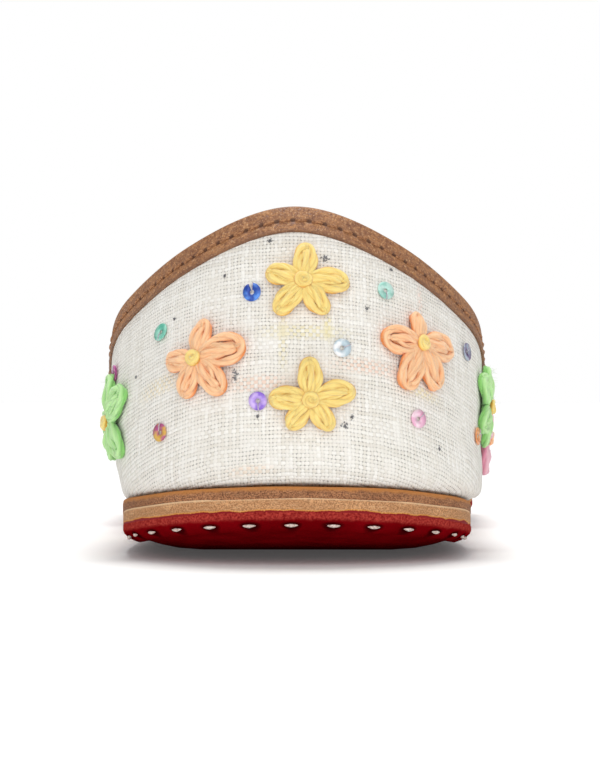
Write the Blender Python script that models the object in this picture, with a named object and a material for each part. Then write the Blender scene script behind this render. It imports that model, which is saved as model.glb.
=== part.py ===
"""Punjabi jutti: a flat slip-on shoe with a cotton upper, a leather topline binding, a sole of three
leather layers and flowers worked in thick yarn. Metres, +Z up, +Y towards the toe, floor at z = 0."""

import math
from collections import namedtuple

import bmesh
import bpy
from mathutils import Vector

# Driving sizes of the last and the sole
LENGTH = 0.252
HEEL_WIDTH = 0.0624
BALL_WIDTH = 0.077
HEEL_PEAK = 0.0609
SIDE_HEIGHT = 0.0315
THROAT_HEIGHT = 0.0495
BELLY = 0.0038

# How far the underside's ends, rim and waist lie above the floor
HEEL_SPRING = 0.0050
TOE_SPRING = 0.0100
RIM_CURL = 0.0022
WAIST_ARCH = 0.0012
# Shares of LENGTH where they start, and the share of the way out where the rim curls
HEEL_SPRING_AT = 0.24
TOE_SPRING_AT = 0.70
ARCH_BACK_AT = 0.35
ARCH_FRONT_AT = 0.595
RIM_AT = 0.6

# Leather layers of the sole, from the floor up
OUTSOLE_THICK = 0.0017
MIDSOLE_THICK = 0.0022
RAND_THICK = 0.0019
INSOLE_THICK = 0.0020
OUTSOLE_EDGE_ROUND = 0.0007
RAND_INSET = 0.0003

# Wall of the upper and the binding that folds over its top edge
WALL = 0.0018
SKIVE = 0.0003
FEATHER_INSET = 0.0008
BINDING_WIDTH = 0.0052
BINDING_THICK = 0.0008
CLEARANCE = 0.0003

# Yarn flowers
FLOWER_HEIGHT = 0.0024
PETALS = 5
VALLEY = 0.42
PETAL_POINT = 0.5

# Mesh steps
COLUMNS = 64
END_CROWDING = 0.4
STEPS_PER_PETAL = 4
OUTER_ROWS = (0.0, 0.08, 0.20, 0.36, 0.54, 0.75)
INNER_ROWS = (0.70, 0.42, 0.20, 0.08)
PLATE_ROWS = (0.0, RIM_AT, (RIM_AT + 1.0) / 2, 1.0)
# Share of a flower's reach, then share of its height
FLOWER_RINGS = ((0.0, 1.0), (0.5, 0.95), (0.86, 0.72), (1.0, 0.0), (0.5, 0.0), (0.0, 0.0))
RIB_STEPS = 12
SLOPE_STEP = 1e-4
MERGE = 1e-6
SMOOTH_ANGLE = math.radians(40)

# The sole's outline and the upper's rib at each station, for one half. Along, heel and ball are shares
# of LENGTH, HEEL_WIDTH / 2 and BALL_WIDTH / 2, and so are the same three for the rib's top end, whose
# height is shares of HEEL_PEAK, SIDE_HEIGHT and THROAT_HEIGHT. A rib is a four-point curve. Its lower
# handle swells out by a share of BELLY, at a low share of the rise. Its upper handle lies outwards,
# by a share of BALL_WIDTH / 2, onwards, by a share of LENGTH, and a drop share of the rise down.
Station = namedtuple(
    "Station",
    "name along heel ball top_along top_heel top_ball peak side throat swell low out on drop",
)
STATIONS = (
    Station("heel_back", 0.000, 0.00, 0.00, 0.026, 0.00, 0.00, 1.00, 0.00, 0.00, 1.00, 0.29, 0.00, -0.032, 0.30),
    Station("heel_round", 0.022, 0.58, 0.00, 0.051, 0.58, 0.00, 0.78, 0.22, 0.00, 0.95, 0.30, 0.04, -0.022, 0.31),
    Station("heel_corner", 0.064, 0.87, 0.00, 0.105, 0.93, 0.00, 0.50, 0.50, 0.00, 0.85, 0.31, 0.03, -0.020, 0.30),
    Station("heel_side", 0.155, 1.00, 0.00, 0.178, 1.065, 0.00, 0.16, 0.84, 0.00, 0.64, 0.33, 0.03, -0.012, 0.30),
    Station("quarter", 0.250, 1.01, 0.00, 0.262, 1.085, 0.00, 0.03, 0.965, 0.00, 0.68, 0.33, 0.03, -0.004, 0.31),
    Station("waist", 0.360, 0.96, 0.00, 0.366, 1.06, 0.00, 0.00, 0.970, 0.00, 0.75, 0.33, 0.03, 0.000, 0.33),
    Station("joint", 0.520, 0.30, 0.65, 0.492, 0.28, 0.60, 0.00, 1.00, 0.00, 1.05, 0.33, 0.13, 0.020, 0.30),
    Station("ball", 0.670, 0.00, 1.00, 0.588, 0.00, 0.69, 0.00, 0.60, 0.40, 1.18, 0.34, 0.29, 0.036, 0.16),
    Station("toe_side", 0.820, 0.00, 0.885, 0.622, 0.00, 0.40, 0.00, 0.24, 0.76, 1.10, 0.34, 0.33, 0.087, 0.28),
    Station("toe_round", 0.940, 0.00, 0.535, 0.632, 0.00, 0.19, 0.00, 0.06, 0.94, 1.00, 0.35, 0.20, 0.135, 0.32),
    Station("toe_tip", 1.000, 0.00, 0.000, 0.635, 0.00, 0.00, 0.00, 0.00, 1.00, 0.92, 0.35, 0.00, 0.160, 0.35),
)

# Where each flower sits: around counts 0 at the heel's back, 1 at the toe and 2 at the back again,
# up and radius are shares of the free wall between the sole and the binding, and turn tips the
# first petal from upright.
Flower = namedtuple("Flower", "name colour around up radius turn")
FLOWERS = (
    Flower("flower_back_high", "yellow", 0.005, 0.790, 0.170, 0),
    Flower("flower_back_low", "yellow", 0.010, 0.350, 0.172, 0),
    Flower("flower_heel_left", "orange", 1.938, 0.590, 0.194, 8),
    Flower("flower_heel_right", "orange", 0.077, 0.690, 0.200, -6),
    Flower("flower_quarter_left", "green", 1.860, 0.535, 0.310, 0),
    Flower("flower_quarter_right", "green", 0.160, 0.675, 0.300, 10),
    Flower("flower_waist_left", "yellow", 1.655, 0.500, 0.410, 12),
    Flower("flower_waist_right", "pink", 0.246, 0.615, 0.365, -8),
    Flower("flower_joint_left", "orange", 1.550, 0.500, 0.430, 0),
    Flower("flower_joint_right", "orange", 0.430, 0.500, 0.420, 14),
    Flower("flower_ball_left", "pink", 1.425, 0.400, 0.330, -10),
    Flower("flower_ball_right", "pink", 0.545, 0.380, 0.360, 4),
    Flower("flower_vamp_left", "green", 1.345, 0.720, 0.190, 16),
    Flower("flower_vamp_right", "green", 0.650, 0.740, 0.195, -12),
    Flower("flower_toe_left", "yellow", 1.260, 0.380, 0.135, 0),
    Flower("flower_toe_right", "yellow", 0.745, 0.380, 0.135, 20),
    Flower("flower_throat", "orange", 1.000, 0.780, 0.078, 0),
    Flower("flower_tip_left", "orange", 1.140, 0.530, 0.086, -14),
    Flower("flower_tip_right", "pink", 0.862, 0.530, 0.086, 10),
    Flower("flower_tip", "green", 1.000, 0.350, 0.078, 180),
)

# Colour as sRGB hex, then roughness
FINISHES = {
    "cotton": ("E9E6DF", 0.90),
    "brown": ("8A5F41", 0.55),
    "rand": ("A2764F", 0.75),
    "tan": ("C49A70", 0.80),
    "red": ("9E1B22", 0.45),
    "sock": ("C69C70", 0.60),
    "yellow": ("EFCB6B", 0.85),
    "orange": ("F5A673", 0.85),
    "green": ("A9E08C", 0.85),
    "pink": ("F3B0BE", 0.85),
}

HALF_HEEL = HEEL_WIDTH / 2
HALF_BALL = BALL_WIDTH / 2
OUTSOLE_TOP = OUTSOLE_THICK
MIDSOLE_BASE = OUTSOLE_TOP + CLEARANCE
MIDSOLE_TOP = MIDSOLE_BASE + MIDSOLE_THICK
RAND_BASE = MIDSOLE_TOP + CLEARANCE
RAND_TOP = RAND_BASE + RAND_THICK
UPPER_SEAT = RAND_TOP + CLEARANCE
COLLAR_RISE = CLEARANCE + BINDING_THICK
WALL_FOOT = FEATHER_INSET + WALL


def clear_scene():
    for old in list(bpy.data.objects):
        bpy.data.objects.remove(old, do_unlink=True)


def ring(points):
    """A smooth half ring through one point a station, with its knots spaced as the sole's outline is."""
    return list(zip(KNOTS, points))


def outline_points():
    return [Vector((s.heel * HALF_HEEL + s.ball * HALF_BALL, s.along * LENGTH, 0.0)) for s in STATIONS]


def chord_shares(points):
    """The share of the way along the chords at which each point lies."""
    travelled = [0.0]
    for near, far in zip(points, points[1:]):
        travelled.append(travelled[-1] + (far - near).length)
    return [t / travelled[-1] for t in travelled]


KNOTS = chord_shares(outline_points())


def mirrored(point):
    return Vector((-point.x, point.y, point.z))


def neighbours(half, index):
    """The knots before and after this one. Past the heel's back and the toe's tip the ring is mirrored."""
    knot = half[index][0]
    if index == 0:
        beyond, point = half[1]
        return (2 * knot - beyond, mirrored(point)), half[1]
    if index == len(half) - 1:
        beyond, point = half[index - 1]
        return half[index - 1], (2 * knot - beyond, mirrored(point))
    return half[index - 1], half[index + 1]


def slope(half, index):
    """Tangent of the ring at a knot, from the parabola through it and its neighbours."""
    knot, point = half[index]
    (before, earlier), (after, later) = neighbours(half, index)
    back = (point - earlier) / (knot - before)
    ahead = (later - point) / (after - knot)
    return (back * (after - knot) + ahead * (knot - before)) / (after - before)


def along_half(half, share):
    """Point of a half ring at a share from 0, the heel's back, to 1, the toe's tip."""
    index = max(i for i, (knot, _) in enumerate(half[:-1]) if knot <= share or i == 0)
    (start, first), (end, second) = half[index], half[index + 1]
    span = end - start
    t = (share - start) / span
    return (
        first * (2 * t**3 - 3 * t**2 + 1)
        + slope(half, index) * span * (t**3 - 2 * t**2 + t)
        + second * (3 * t**2 - 2 * t**3)
        + slope(half, index + 1) * span * (t**3 - t**2)
    )


def on_ring(half, around):
    """Point of the whole ring: 0 at the heel's back, 1 at the toe's tip, then back on the other side."""
    around = around % 2
    if around > 1:
        return mirrored(along_half(half, 2 - around))
    return along_half(half, around)


OUTLINE = ring(outline_points())
TOPLINE = ring(
    [
        Vector(
            (
                s.top_heel * HALF_HEEL + s.top_ball * HALF_BALL,
                s.top_along * LENGTH,
                s.peak * HEEL_PEAK + s.side * SIDE_HEIGHT + s.throat * THROAT_HEIGHT - COLLAR_RISE,
            )
        )
        for s in STATIONS
    ]
)
# In both, z is a share of the rib's rise. The swell is along the ribs, so it stays off the mirrored x
LOWER_HANDLES = ring([Vector((0.0, s.swell * BELLY, s.low)) for s in STATIONS])
UPPER_HANDLES = ring([Vector((s.out * HALF_BALL, s.on * LENGTH, s.drop)) for s in STATIONS])


def spine(edge):
    """The point of the centre line that an outline point's rib runs to."""
    return Vector((0.0, min(max(edge.y, HALF_HEEL), LENGTH - HALF_BALL), 0.0))


def plan(around, inset):
    """A point of the plan, this far inside the sole's outline, and its share of the way out from the spine."""
    edge = on_ring(OUTLINE, around)
    centre = spine(edge)
    reach = (edge - centre).length
    share = (reach - inset) / reach
    return centre.lerp(edge, share), share


def outward(around):
    edge = on_ring(OUTLINE, around)
    return (edge - spine(edge)).normalized()


def floor_gap(y, share):
    """Height of the sole's underside: heel and toe spring, waist arch and the curled rim."""
    along = y / LENGTH
    height = 0.0
    if along < HEEL_SPRING_AT:
        height += HEEL_SPRING * (1 - along / HEEL_SPRING_AT) ** 2
    if along > TOE_SPRING_AT:
        height += TOE_SPRING * ((along - TOE_SPRING_AT) / (1 - TOE_SPRING_AT)) ** 2
    if ARCH_BACK_AT < along < ARCH_FRONT_AT:
        height += WAIST_ARCH * math.sin(math.pi * (along - ARCH_BACK_AT) / (ARCH_FRONT_AT - ARCH_BACK_AT)) ** 2
    if share > RIM_AT:
        height += RIM_CURL * ((share - RIM_AT) / (1 - RIM_AT)) ** 2
    return height


def on_sole(around, inset, level):
    """A point this far inside the outline and this high above the underside."""
    point, share = plan(around, inset)
    return point + Vector((0.0, 0.0, floor_gap(point.y, share) + level))


def wall_face(around, up):
    """Outer face of the upper: up runs from 0 at the sole to 1 at the top edge."""
    foot = on_sole(around, FEATHER_INSET, UPPER_SEAT)
    top = on_ring(TOPLINE, around)
    rise = top.z - foot.z
    lower = on_ring(LOWER_HANDLES, around)
    upper = on_ring(UPPER_HANDLES, around)
    first = foot + outward(around) * lower.y + Vector((0.0, 0.0, lower.z * rise))
    second = top + Vector((upper.x, upper.y, -upper.z * rise))
    down = 1 - up
    return foot * down**3 + first * (3 * down**2 * up) + second * (3 * down * up**2) + top * up**3


def wall_slopes(around, up):
    """How the outer face runs round the shoe and up the wall."""
    low, high = max(up - SLOPE_STEP, 0.0), min(up + SLOPE_STEP, 1.0)
    rising = (wall_face(around, high) - wall_face(around, low)) / (high - low)
    onward = (wall_face(around + SLOPE_STEP, up) - wall_face(around - SLOPE_STEP, up)) / (2 * SLOPE_STEP)
    return onward, rising


def wall(around, up, depth):
    """A point inside the wall's thickness. A negative depth stands proud of the outer face."""
    if up == 0.0:
        return on_sole(around, FEATHER_INSET + depth, UPPER_SEAT)
    onward, rising = wall_slopes(around, up)
    return wall_face(around, up) - onward.cross(rising).normalized() * depth


def above_edge(around, rise, depth):
    """A point past the upper's top edge, straight on from the wall."""
    rising = wall_slopes(around, 1.0)[1].normalized()
    return wall(around, 1.0, depth) + rising * rise


def below_edge(around, width):
    """The height on the wall that lies this far down from its top edge."""
    return 1 - width / wall_slopes(around, 1.0)[1].length


def middle():
    """Where the whole shoe's middle lies along it, between the flowers behind the heel and the toe."""
    heights = [step / RIB_STEPS for step in range(1, RIB_STEPS)]
    rear = min(wall(0.0, up, -CLEARANCE - FLOWER_HEIGHT).y for up in heights)
    return (rear + LENGTH) / 2


def crowded(step):
    """A station of the mesh, closer together at the heel and the toe than along the sides."""
    even = 2 * step
    return even - END_CROWDING * math.sin(2 * math.pi * even) / (2 * math.pi)


def link(name, mesh, finish):
    """Makes the named piece of a mesh, over the shoe's origin, in its collection and with its material."""
    piece = bpy.data.objects.new(name, mesh)
    mesh.materials.append(MATERIALS[finish])
    mesh.shade_smooth()
    mesh.set_sharp_from_angle(angle=SMOOTH_ANGLE)
    SHOE.objects.link(piece)
    piece.location.y = -MIDDLE


def swept(name, columns, rows, place, finish):
    """A closed solid: a grid wrapped round the shoe one way and round its own section the other way."""
    shape = bmesh.new()
    bmesh.ops.create_grid(shape, x_segments=columns, y_segments=rows, size=0.5)
    for corner in shape.verts:
        corner.co = place(corner.co.x + 0.5, round((corner.co.y + 0.5) * rows))
    bmesh.ops.remove_doubles(shape, verts=shape.verts, dist=MERGE)
    bmesh.ops.recalc_face_normals(shape, faces=shape.faces)
    # Facing walls of two pieces are cut along the same diagonals, so their gap stays even
    bmesh.ops.triangulate(shape, faces=shape.faces, quad_method="SHORT_EDGE")
    mesh = bpy.data.meshes.new(name)
    shape.to_mesh(mesh)
    shape.free()
    link(name, mesh, finish)


def make_plate(name, inset, foot_inset, base, top, finish):
    """A leather layer that follows the underside, from base to top above it."""
    section = [(share, foot_inset, base) for share in PLATE_ROWS]
    section += [(share, inset, top) for share in reversed(PLATE_ROWS)]

    def place(step, row):
        share, edge_inset, level = section[row]
        around = crowded(step)
        rim = on_sole(around, edge_inset, level)
        if share == 1.0:
            return rim
        centre = spine(on_ring(OUTLINE, around))
        point = centre.lerp(Vector((rim.x, rim.y, 0.0)), share)
        return point + Vector((0.0, 0.0, floor_gap(point.y, share) + level))

    swept(name, COLUMNS, len(section) - 1, place, finish)


def make_upper():
    """The cotton wall: full thickness up to the binding, then skived on both faces to go inside it."""
    start = BINDING_WIDTH + CLEARANCE
    skived = SKIVE + CLEARANCE
    section = [(lambda a, u=u: wall(a, u * below_edge(a, start) / OUTER_ROWS[-1], 0.0)) for u in OUTER_ROWS]
    section += [
        lambda a: wall(a, below_edge(a, start - SKIVE), skived),
        lambda a: wall(a, below_edge(a, BINDING_WIDTH / 2), skived),
        lambda a: wall(a, 1.0, skived),
        lambda a: wall(a, 1.0, WALL - skived),
        lambda a: wall(a, below_edge(a, BINDING_WIDTH / 2), WALL - skived),
        lambda a: wall(a, below_edge(a, start - SKIVE), WALL - skived),
        lambda a: wall(a, below_edge(a, start), WALL),
    ]
    section += [(lambda a, u=u: wall(a, u, WALL)) for u in INNER_ROWS]
    section += [lambda a: wall(a, 0.0, WALL), section[0]]
    swept("upper", COLUMNS, len(section) - 1, lambda s, row: section[row](crowded(s)), "cotton")


def make_binding():
    """The leather strip folded over the top edge, a U in section."""
    proud = BINDING_THICK - SKIVE
    section = [
        lambda a: wall(a, below_edge(a, BINDING_WIDTH), -proud),
        lambda a: wall(a, below_edge(a, BINDING_WIDTH / 2), -proud),
        lambda a: above_edge(a, 0.0, -proud),
        lambda a: above_edge(a, COLLAR_RISE, WALL / 2 - proud - SKIVE),
        lambda a: above_edge(a, COLLAR_RISE, WALL / 2 + proud + SKIVE),
        lambda a: above_edge(a, 0.0, WALL + proud),
        lambda a: wall(a, below_edge(a, BINDING_WIDTH / 2), WALL + proud),
        lambda a: wall(a, below_edge(a, BINDING_WIDTH), WALL + proud),
        lambda a: wall(a, below_edge(a, BINDING_WIDTH), WALL - SKIVE),
        lambda a: wall(a, below_edge(a, BINDING_WIDTH / 2), WALL - SKIVE),
        lambda a: above_edge(a, CLEARANCE, WALL - SKIVE),
        lambda a: above_edge(a, CLEARANCE, SKIVE),
        lambda a: wall(a, below_edge(a, BINDING_WIDTH / 2), SKIVE),
        lambda a: wall(a, below_edge(a, BINDING_WIDTH), SKIVE),
    ]
    section.append(section[0])
    swept("topline_binding", COLUMNS, len(section) - 1, lambda s, row: section[row](crowded(s)), "brown")


def petal_reach(angle):
    """How far out a flower's outline lies, as a share of its radius."""
    return VALLEY + (1 - VALLEY) * abs(math.cos(PETALS * angle / 2)) ** PETAL_POINT


def free_wall(around):
    """Length of the rib between the sole and the binding."""
    edge = below_edge(around, BINDING_WIDTH)
    marks = [wall_face(around, edge * i / RIB_STEPS) for i in range(RIB_STEPS + 1)]
    return sum((far - near).length for near, far in zip(marks, marks[1:]))


def beside(around, up, across, rise):
    """The place on the wall that lies this far across and above another one, in metres."""
    onward, rising = wall_slopes(around, up)
    level = onward.normalized()
    upright = onward.cross(rising).normalized().cross(level)
    step_up = rise / rising.dot(upright)
    step_on = (across - rising.dot(level) * step_up) / onward.dot(level)
    return around + step_on, up + step_up


def make_flower(flower):
    """A raised five-petal flower: its base follows the wall, a clearance off it."""
    turn = math.radians(flower.turn)
    radius = flower.radius * free_wall(flower.around)
    centre_up = flower.up * below_edge(flower.around, BINDING_WIDTH)

    def place(step, row):
        reach, height = FLOWER_RINGS[row]
        angle = 2 * math.pi * step
        distance = petal_reach(angle) * reach * radius
        across, rise = distance * math.sin(angle + turn), distance * math.cos(angle + turn)
        around, up = beside(flower.around, centre_up, across, rise)
        return wall(around, up, -CLEARANCE - FLOWER_HEIGHT * height)

    swept(flower.name, PETALS * STEPS_PER_PETAL, len(FLOWER_RINGS) - 1, place, flower.colour)


def linear(channel):
    return channel / 12.92 if channel <= 0.04045 else ((channel + 0.055) / 1.055) ** 2.4


def make_material(name, colour, roughness):
    material = bpy.data.materials.new(name)
    material.use_nodes = True
    shader = material.node_tree.nodes["Principled BSDF"]
    channels = [linear(int(colour[i : i + 2], 16) / 255) for i in (0, 2, 4)]
    shader.inputs["Base Color"].default_value = (*channels, 1.0)
    shader.inputs["Roughness"].default_value = roughness
    shader.inputs["Metallic"].default_value = 0.0
    return material


clear_scene()
SHOE = bpy.data.collections.new("punjabi_jutti")
bpy.context.scene.collection.children.link(SHOE)
MATERIALS = {name: make_material(name, *finish) for name, finish in FINISHES.items()}
# The origin is on the floor, under the middle of the whole shoe
MIDDLE = middle()

make_plate("outsole", 0.0, OUTSOLE_EDGE_ROUND, 0.0, OUTSOLE_TOP, "red")
make_plate("midsole", 0.0, 0.0, MIDSOLE_BASE, MIDSOLE_TOP, "tan")
make_plate("rand_layer", RAND_INSET, RAND_INSET, RAND_BASE, RAND_TOP, "rand")
make_plate("insole", WALL_FOOT + CLEARANCE, WALL_FOOT + CLEARANCE, UPPER_SEAT, UPPER_SEAT + INSOLE_THICK, "sock")
make_upper()
make_binding()
for one_flower in FLOWERS:
    make_flower(one_flower)
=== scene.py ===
# %% [markdown]
# # A Punjabi jutti, seen from the heel
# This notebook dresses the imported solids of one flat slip-on shoe. The real one is natural cotton, bound
# with folded leather at the top edge, on a sole of three leather layers, and worked with flowers of
# thick yarn. Each step first says what the piece is and why it is made the way it is.

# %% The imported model
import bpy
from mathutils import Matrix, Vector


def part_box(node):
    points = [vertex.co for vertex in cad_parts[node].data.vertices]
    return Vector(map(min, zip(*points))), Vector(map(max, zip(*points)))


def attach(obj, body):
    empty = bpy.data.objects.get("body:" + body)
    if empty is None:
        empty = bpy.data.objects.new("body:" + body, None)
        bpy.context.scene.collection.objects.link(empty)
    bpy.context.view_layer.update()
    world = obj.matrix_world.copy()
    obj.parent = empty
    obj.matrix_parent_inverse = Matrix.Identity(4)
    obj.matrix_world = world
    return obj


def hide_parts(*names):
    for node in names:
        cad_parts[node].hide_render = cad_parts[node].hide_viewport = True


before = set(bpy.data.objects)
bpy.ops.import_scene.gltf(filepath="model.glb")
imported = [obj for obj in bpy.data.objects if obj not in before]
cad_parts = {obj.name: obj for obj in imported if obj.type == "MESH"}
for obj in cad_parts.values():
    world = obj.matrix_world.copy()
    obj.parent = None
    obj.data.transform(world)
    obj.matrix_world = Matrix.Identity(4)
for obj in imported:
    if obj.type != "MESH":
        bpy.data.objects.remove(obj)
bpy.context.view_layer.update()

# %% Modules
import math

import bmesh
import bpy
import numpy as np
from mathutils import Vector

MM = 0.001

# %% [markdown]
# ## The last
# A shoe takes its form from the last that it is pulled over. One formula for that form serves every
# piece: the sole's outline is a smooth ring through eleven stations of each half, and the upper's wall is
# a rib at each place round that ring. `around` is 0 at the heel's back, 1 at the toe's tip and 2 at the
# back again. The sizes are those of the solids, and the shoe's length and place are read from them.

# %% Sizes of the last and its stations
SOLE_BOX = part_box("midsole")
REAR = SOLE_BOX[0].y
LENGTH = SOLE_BOX[1].y - REAR
HALF_HEEL = 31.2 * MM
HALF_BALL = 38.5 * MM
HEEL_PEAK = 60.9 * MM
SIDE_HEIGHT = 31.5 * MM
THROAT_HEIGHT = 49.5 * MM
BELLY = 3.8 * MM
OUTSOLE_TOP = 1.7 * MM
MIDSOLE_TOP = 4.2 * MM
RAND_TOP = 6.4 * MM
UPPER_SEAT = 6.7 * MM
FEATHER_INSET = 0.8 * MM
WALL = 1.8 * MM
BINDING_WIDTH = 5.2 * MM
COLLAR_RISE = 1.1 * MM
# Each row: along, heel, ball | top along, top heel, top ball | peak, side, throat |
# swell, low | out, on, drop
STATIONS = np.array([
    (0.000, 0.00, 0.000, 0.026, 0.00, 0.00, 1.00, 0.000, 0.00, 1.00, 0.29, 0.00, -0.032, 0.30),
    (0.022, 0.58, 0.000, 0.051, 0.58, 0.00, 0.78, 0.220, 0.00, 0.95, 0.30, 0.04, -0.022, 0.31),
    (0.064, 0.87, 0.000, 0.105, 0.93, 0.00, 0.50, 0.500, 0.00, 0.85, 0.31, 0.03, -0.020, 0.30),
    (0.155, 1.00, 0.000, 0.178, 1.065, 0.00, 0.16, 0.840, 0.00, 0.64, 0.33, 0.03, -0.012, 0.30),
    (0.250, 1.01, 0.000, 0.262, 1.085, 0.00, 0.03, 0.965, 0.00, 0.68, 0.33, 0.03, -0.004, 0.31),
    (0.360, 0.96, 0.000, 0.366, 1.06, 0.00, 0.00, 0.970, 0.00, 0.75, 0.33, 0.03, 0.000, 0.33),
    (0.520, 0.30, 0.650, 0.492, 0.28, 0.60, 0.00, 1.000, 0.00, 1.05, 0.33, 0.13, 0.020, 0.30),
    (0.670, 0.00, 1.000, 0.588, 0.00, 0.69, 0.00, 0.600, 0.40, 1.18, 0.34, 0.29, 0.036, 0.16),
    (0.820, 0.00, 0.885, 0.622, 0.00, 0.40, 0.00, 0.240, 0.76, 1.10, 0.34, 0.33, 0.087, 0.28),
    (0.940, 0.00, 0.535, 0.632, 0.00, 0.19, 0.00, 0.060, 0.94, 1.00, 0.35, 0.20, 0.135, 0.32),
    (1.000, 0.00, 0.000, 0.635, 0.00, 0.00, 0.00, 0.000, 1.00, 0.92, 0.35, 0.00, 0.160, 0.35),
])
(along, heel, ball, top_along, top_heel, top_ball, peak, side, throat,
 swell, low, out, on, drop) = STATIONS.T
NONE = np.zeros(len(STATIONS))
UPWARD = np.array([0.0, 0.0, 1.0])
OUTLINE_POINTS = np.stack([heel * HALF_HEEL + ball * HALF_BALL, along * LENGTH, NONE], axis=1)
CHORDS = np.linalg.norm(np.diff(OUTLINE_POINTS, axis=0), axis=1)
KNOTS = np.r_[0.0, np.cumsum(CHORDS)] / CHORDS.sum()
print("shoe", round(LENGTH / MM, 1), "mm long, rear at", round(REAR / MM, 1), "mm")

# %% The ring through the stations
def smooth_ring(points):
    """One half's points with their slopes. Past the heel's back and the toe's tip the ring is mirrored."""
    mirror = points * (-1, 1, 1)
    before = np.vstack([mirror[1], points[:-1]])
    after = np.vstack([points[1:], mirror[-2]])
    gaps = np.diff(KNOTS)
    back = np.r_[gaps[0], gaps][:, None]
    ahead = np.r_[gaps, gaps[-1]][:, None]
    slope = ((points - before) / back * ahead + (after - points) / ahead * back) / (back + ahead)
    return points, slope


def on_ring(ring, around):
    """Points of a ring at places round the shoe."""
    points, slope = ring
    folded = np.mod(around, 2.0)
    share = np.where(folded > 1, 2 - folded, folded)
    index = np.clip(np.searchsorted(KNOTS, share, side="right") - 1, 0, len(KNOTS) - 2)
    span = (KNOTS[index + 1] - KNOTS[index])[..., None]
    t = (share - KNOTS[index])[..., None] / span
    place = (
        points[index] * (2 * t**3 - 3 * t**2 + 1)
        + slope[index] * span * (t**3 - 2 * t**2 + t)
        + points[index + 1] * (3 * t**2 - 2 * t**3)
        + slope[index + 1] * span * (t**3 - t**2)
    )
    place[..., 0] *= np.where(folded > 1, -1.0, 1.0)
    return place


OUTLINE = smooth_ring(OUTLINE_POINTS)
TOPLINE = smooth_ring(np.stack([
    top_heel * HALF_HEEL + top_ball * HALF_BALL,
    top_along * LENGTH,
    peak * HEEL_PEAK + side * SIDE_HEIGHT + throat * THROAT_HEIGHT - COLLAR_RISE,
], axis=1))
LOWER_HANDLES = smooth_ring(np.stack([NONE, swell * BELLY, low], axis=1))
UPPER_HANDLES = smooth_ring(np.stack([out * HALF_BALL, on * LENGTH, drop], axis=1))

# %% The sole's underside
def share_between(value, start, end):
    """0 at start, 1 at end, held there beyond them."""
    return np.clip((value - start) / (end - start), 0.0, 1.0)


def eased(share):
    """The same share, starting and ending gently."""
    return share * share * (3 - 2 * share)


def spine(edge):
    """The centre line's point that each place of the outline faces."""
    y = np.clip(edge[..., 1], HALF_HEEL, LENGTH - HALF_BALL)
    return np.stack([np.zeros_like(y), y, np.zeros_like(y)], axis=-1)


def floor_gap(y, share):
    """Height of the underside: heel and toe spring, waist arch and curled rim, in metres."""
    place = y / LENGTH
    rear = 5.0 * MM * share_between(place, 0.24, 0.0) ** 2
    front = 10.0 * MM * share_between(place, 0.70, 1.0) ** 2
    arch = 1.2 * MM * np.sin(math.pi * share_between(place, 0.35, 0.595)) ** 2
    rim = 2.2 * MM * share_between(share, 0.6, 1.0) ** 2
    return rear + front + arch + rim


def on_sole(around, inset, level):
    """A place this far inside the outline and this high above the underside."""
    edge = on_ring(OUTLINE, around)
    centre = spine(edge)
    reach = np.linalg.norm(edge - centre, axis=-1)
    share = (reach - inset) / reach
    place = centre + (edge - centre) * share[..., None]
    place[..., 2] = floor_gap(place[..., 1], share) + level
    return place


def outward(around):
    """The level direction from the centre line to the outline."""
    edge = on_ring(OUTLINE, around)
    away = edge - spine(edge)
    return away / np.linalg.norm(away, axis=-1)[..., None]


# %% The upper's wall
def wall_face(around, up):
    """Outer face of the wall: up runs from 0 at the sole to 1 at the top edge."""
    foot = on_sole(around, FEATHER_INSET, UPPER_SEAT)
    top = on_ring(TOPLINE, around)
    rise = (top[..., 2] - foot[..., 2])[..., None]
    lower = on_ring(LOWER_HANDLES, around)
    upper = on_ring(UPPER_HANDLES, around)
    first = foot + outward(around) * lower[..., 1:2] + UPWARD * lower[..., 2:3] * rise
    second = top + upper * (1, 1, 0) - UPWARD * upper[..., 2:3] * rise
    u = up[..., None]
    rest = 1 - u
    return foot * rest**3 + 3 * first * rest**2 * u + 3 * second * rest * u**2 + top * u**3


def wall_slopes(around, up):
    """How the outer face runs round the shoe and up the wall."""
    step = 1e-4
    lower, higher = np.maximum(up - step, 0.0), np.minimum(up + step, 1.0)
    rising = (wall_face(around, higher) - wall_face(around, lower)) / (higher - lower)[..., None]
    onward = (wall_face(around + step, up) - wall_face(around - step, up)) / (2 * step)
    return onward, rising


def unit(vectors):
    """The same directions with length 1."""
    return vectors / np.linalg.norm(vectors, axis=-1)[..., None]


def wall(around, up, depth):
    """A place inside the wall. A negative depth stands proud of it, and up past 1 goes straight on."""
    around, up, depth = np.broadcast_arrays(around, up, depth)
    held = np.clip(up, 0.0, 1.0)
    onward, rising = wall_slopes(around, held)
    level = eased(share_between(held, 0.05, 0.0))[..., None]
    normal = unit(unit(np.cross(onward, rising)) * (1 - level) + outward(around) * level)
    past = np.maximum(up - 1.0, 0.0)[..., None]
    return wall_face(around, held) - normal * depth[..., None] + rising * past


def below_edge(around, width):
    """The height on the wall that lies this far down from its top edge."""
    rising = wall_slopes(around, np.ones_like(around))[1]
    return 1 - width / np.linalg.norm(rising, axis=-1)


def wall_axes(around, up):
    """How the wall runs on and up at one place, and its level, upright and outward directions."""
    onward, rising = (slope[0] for slope in wall_slopes(np.array([around]), np.array([up])))
    level = unit(onward)
    away = unit(np.cross(onward, rising))
    return onward, rising, level, np.cross(away, level), away


def beside(around, up, across, rise):
    """The place on the wall that lies this far across and above another one, in metres."""
    onward, rising, level, upright = wall_axes(around, up)[:4]
    step_up = rise / rising.dot(upright)
    step_on = (across - rising.dot(level) * step_up) / onward.dot(level)
    return around + step_on, up + step_up


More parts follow.
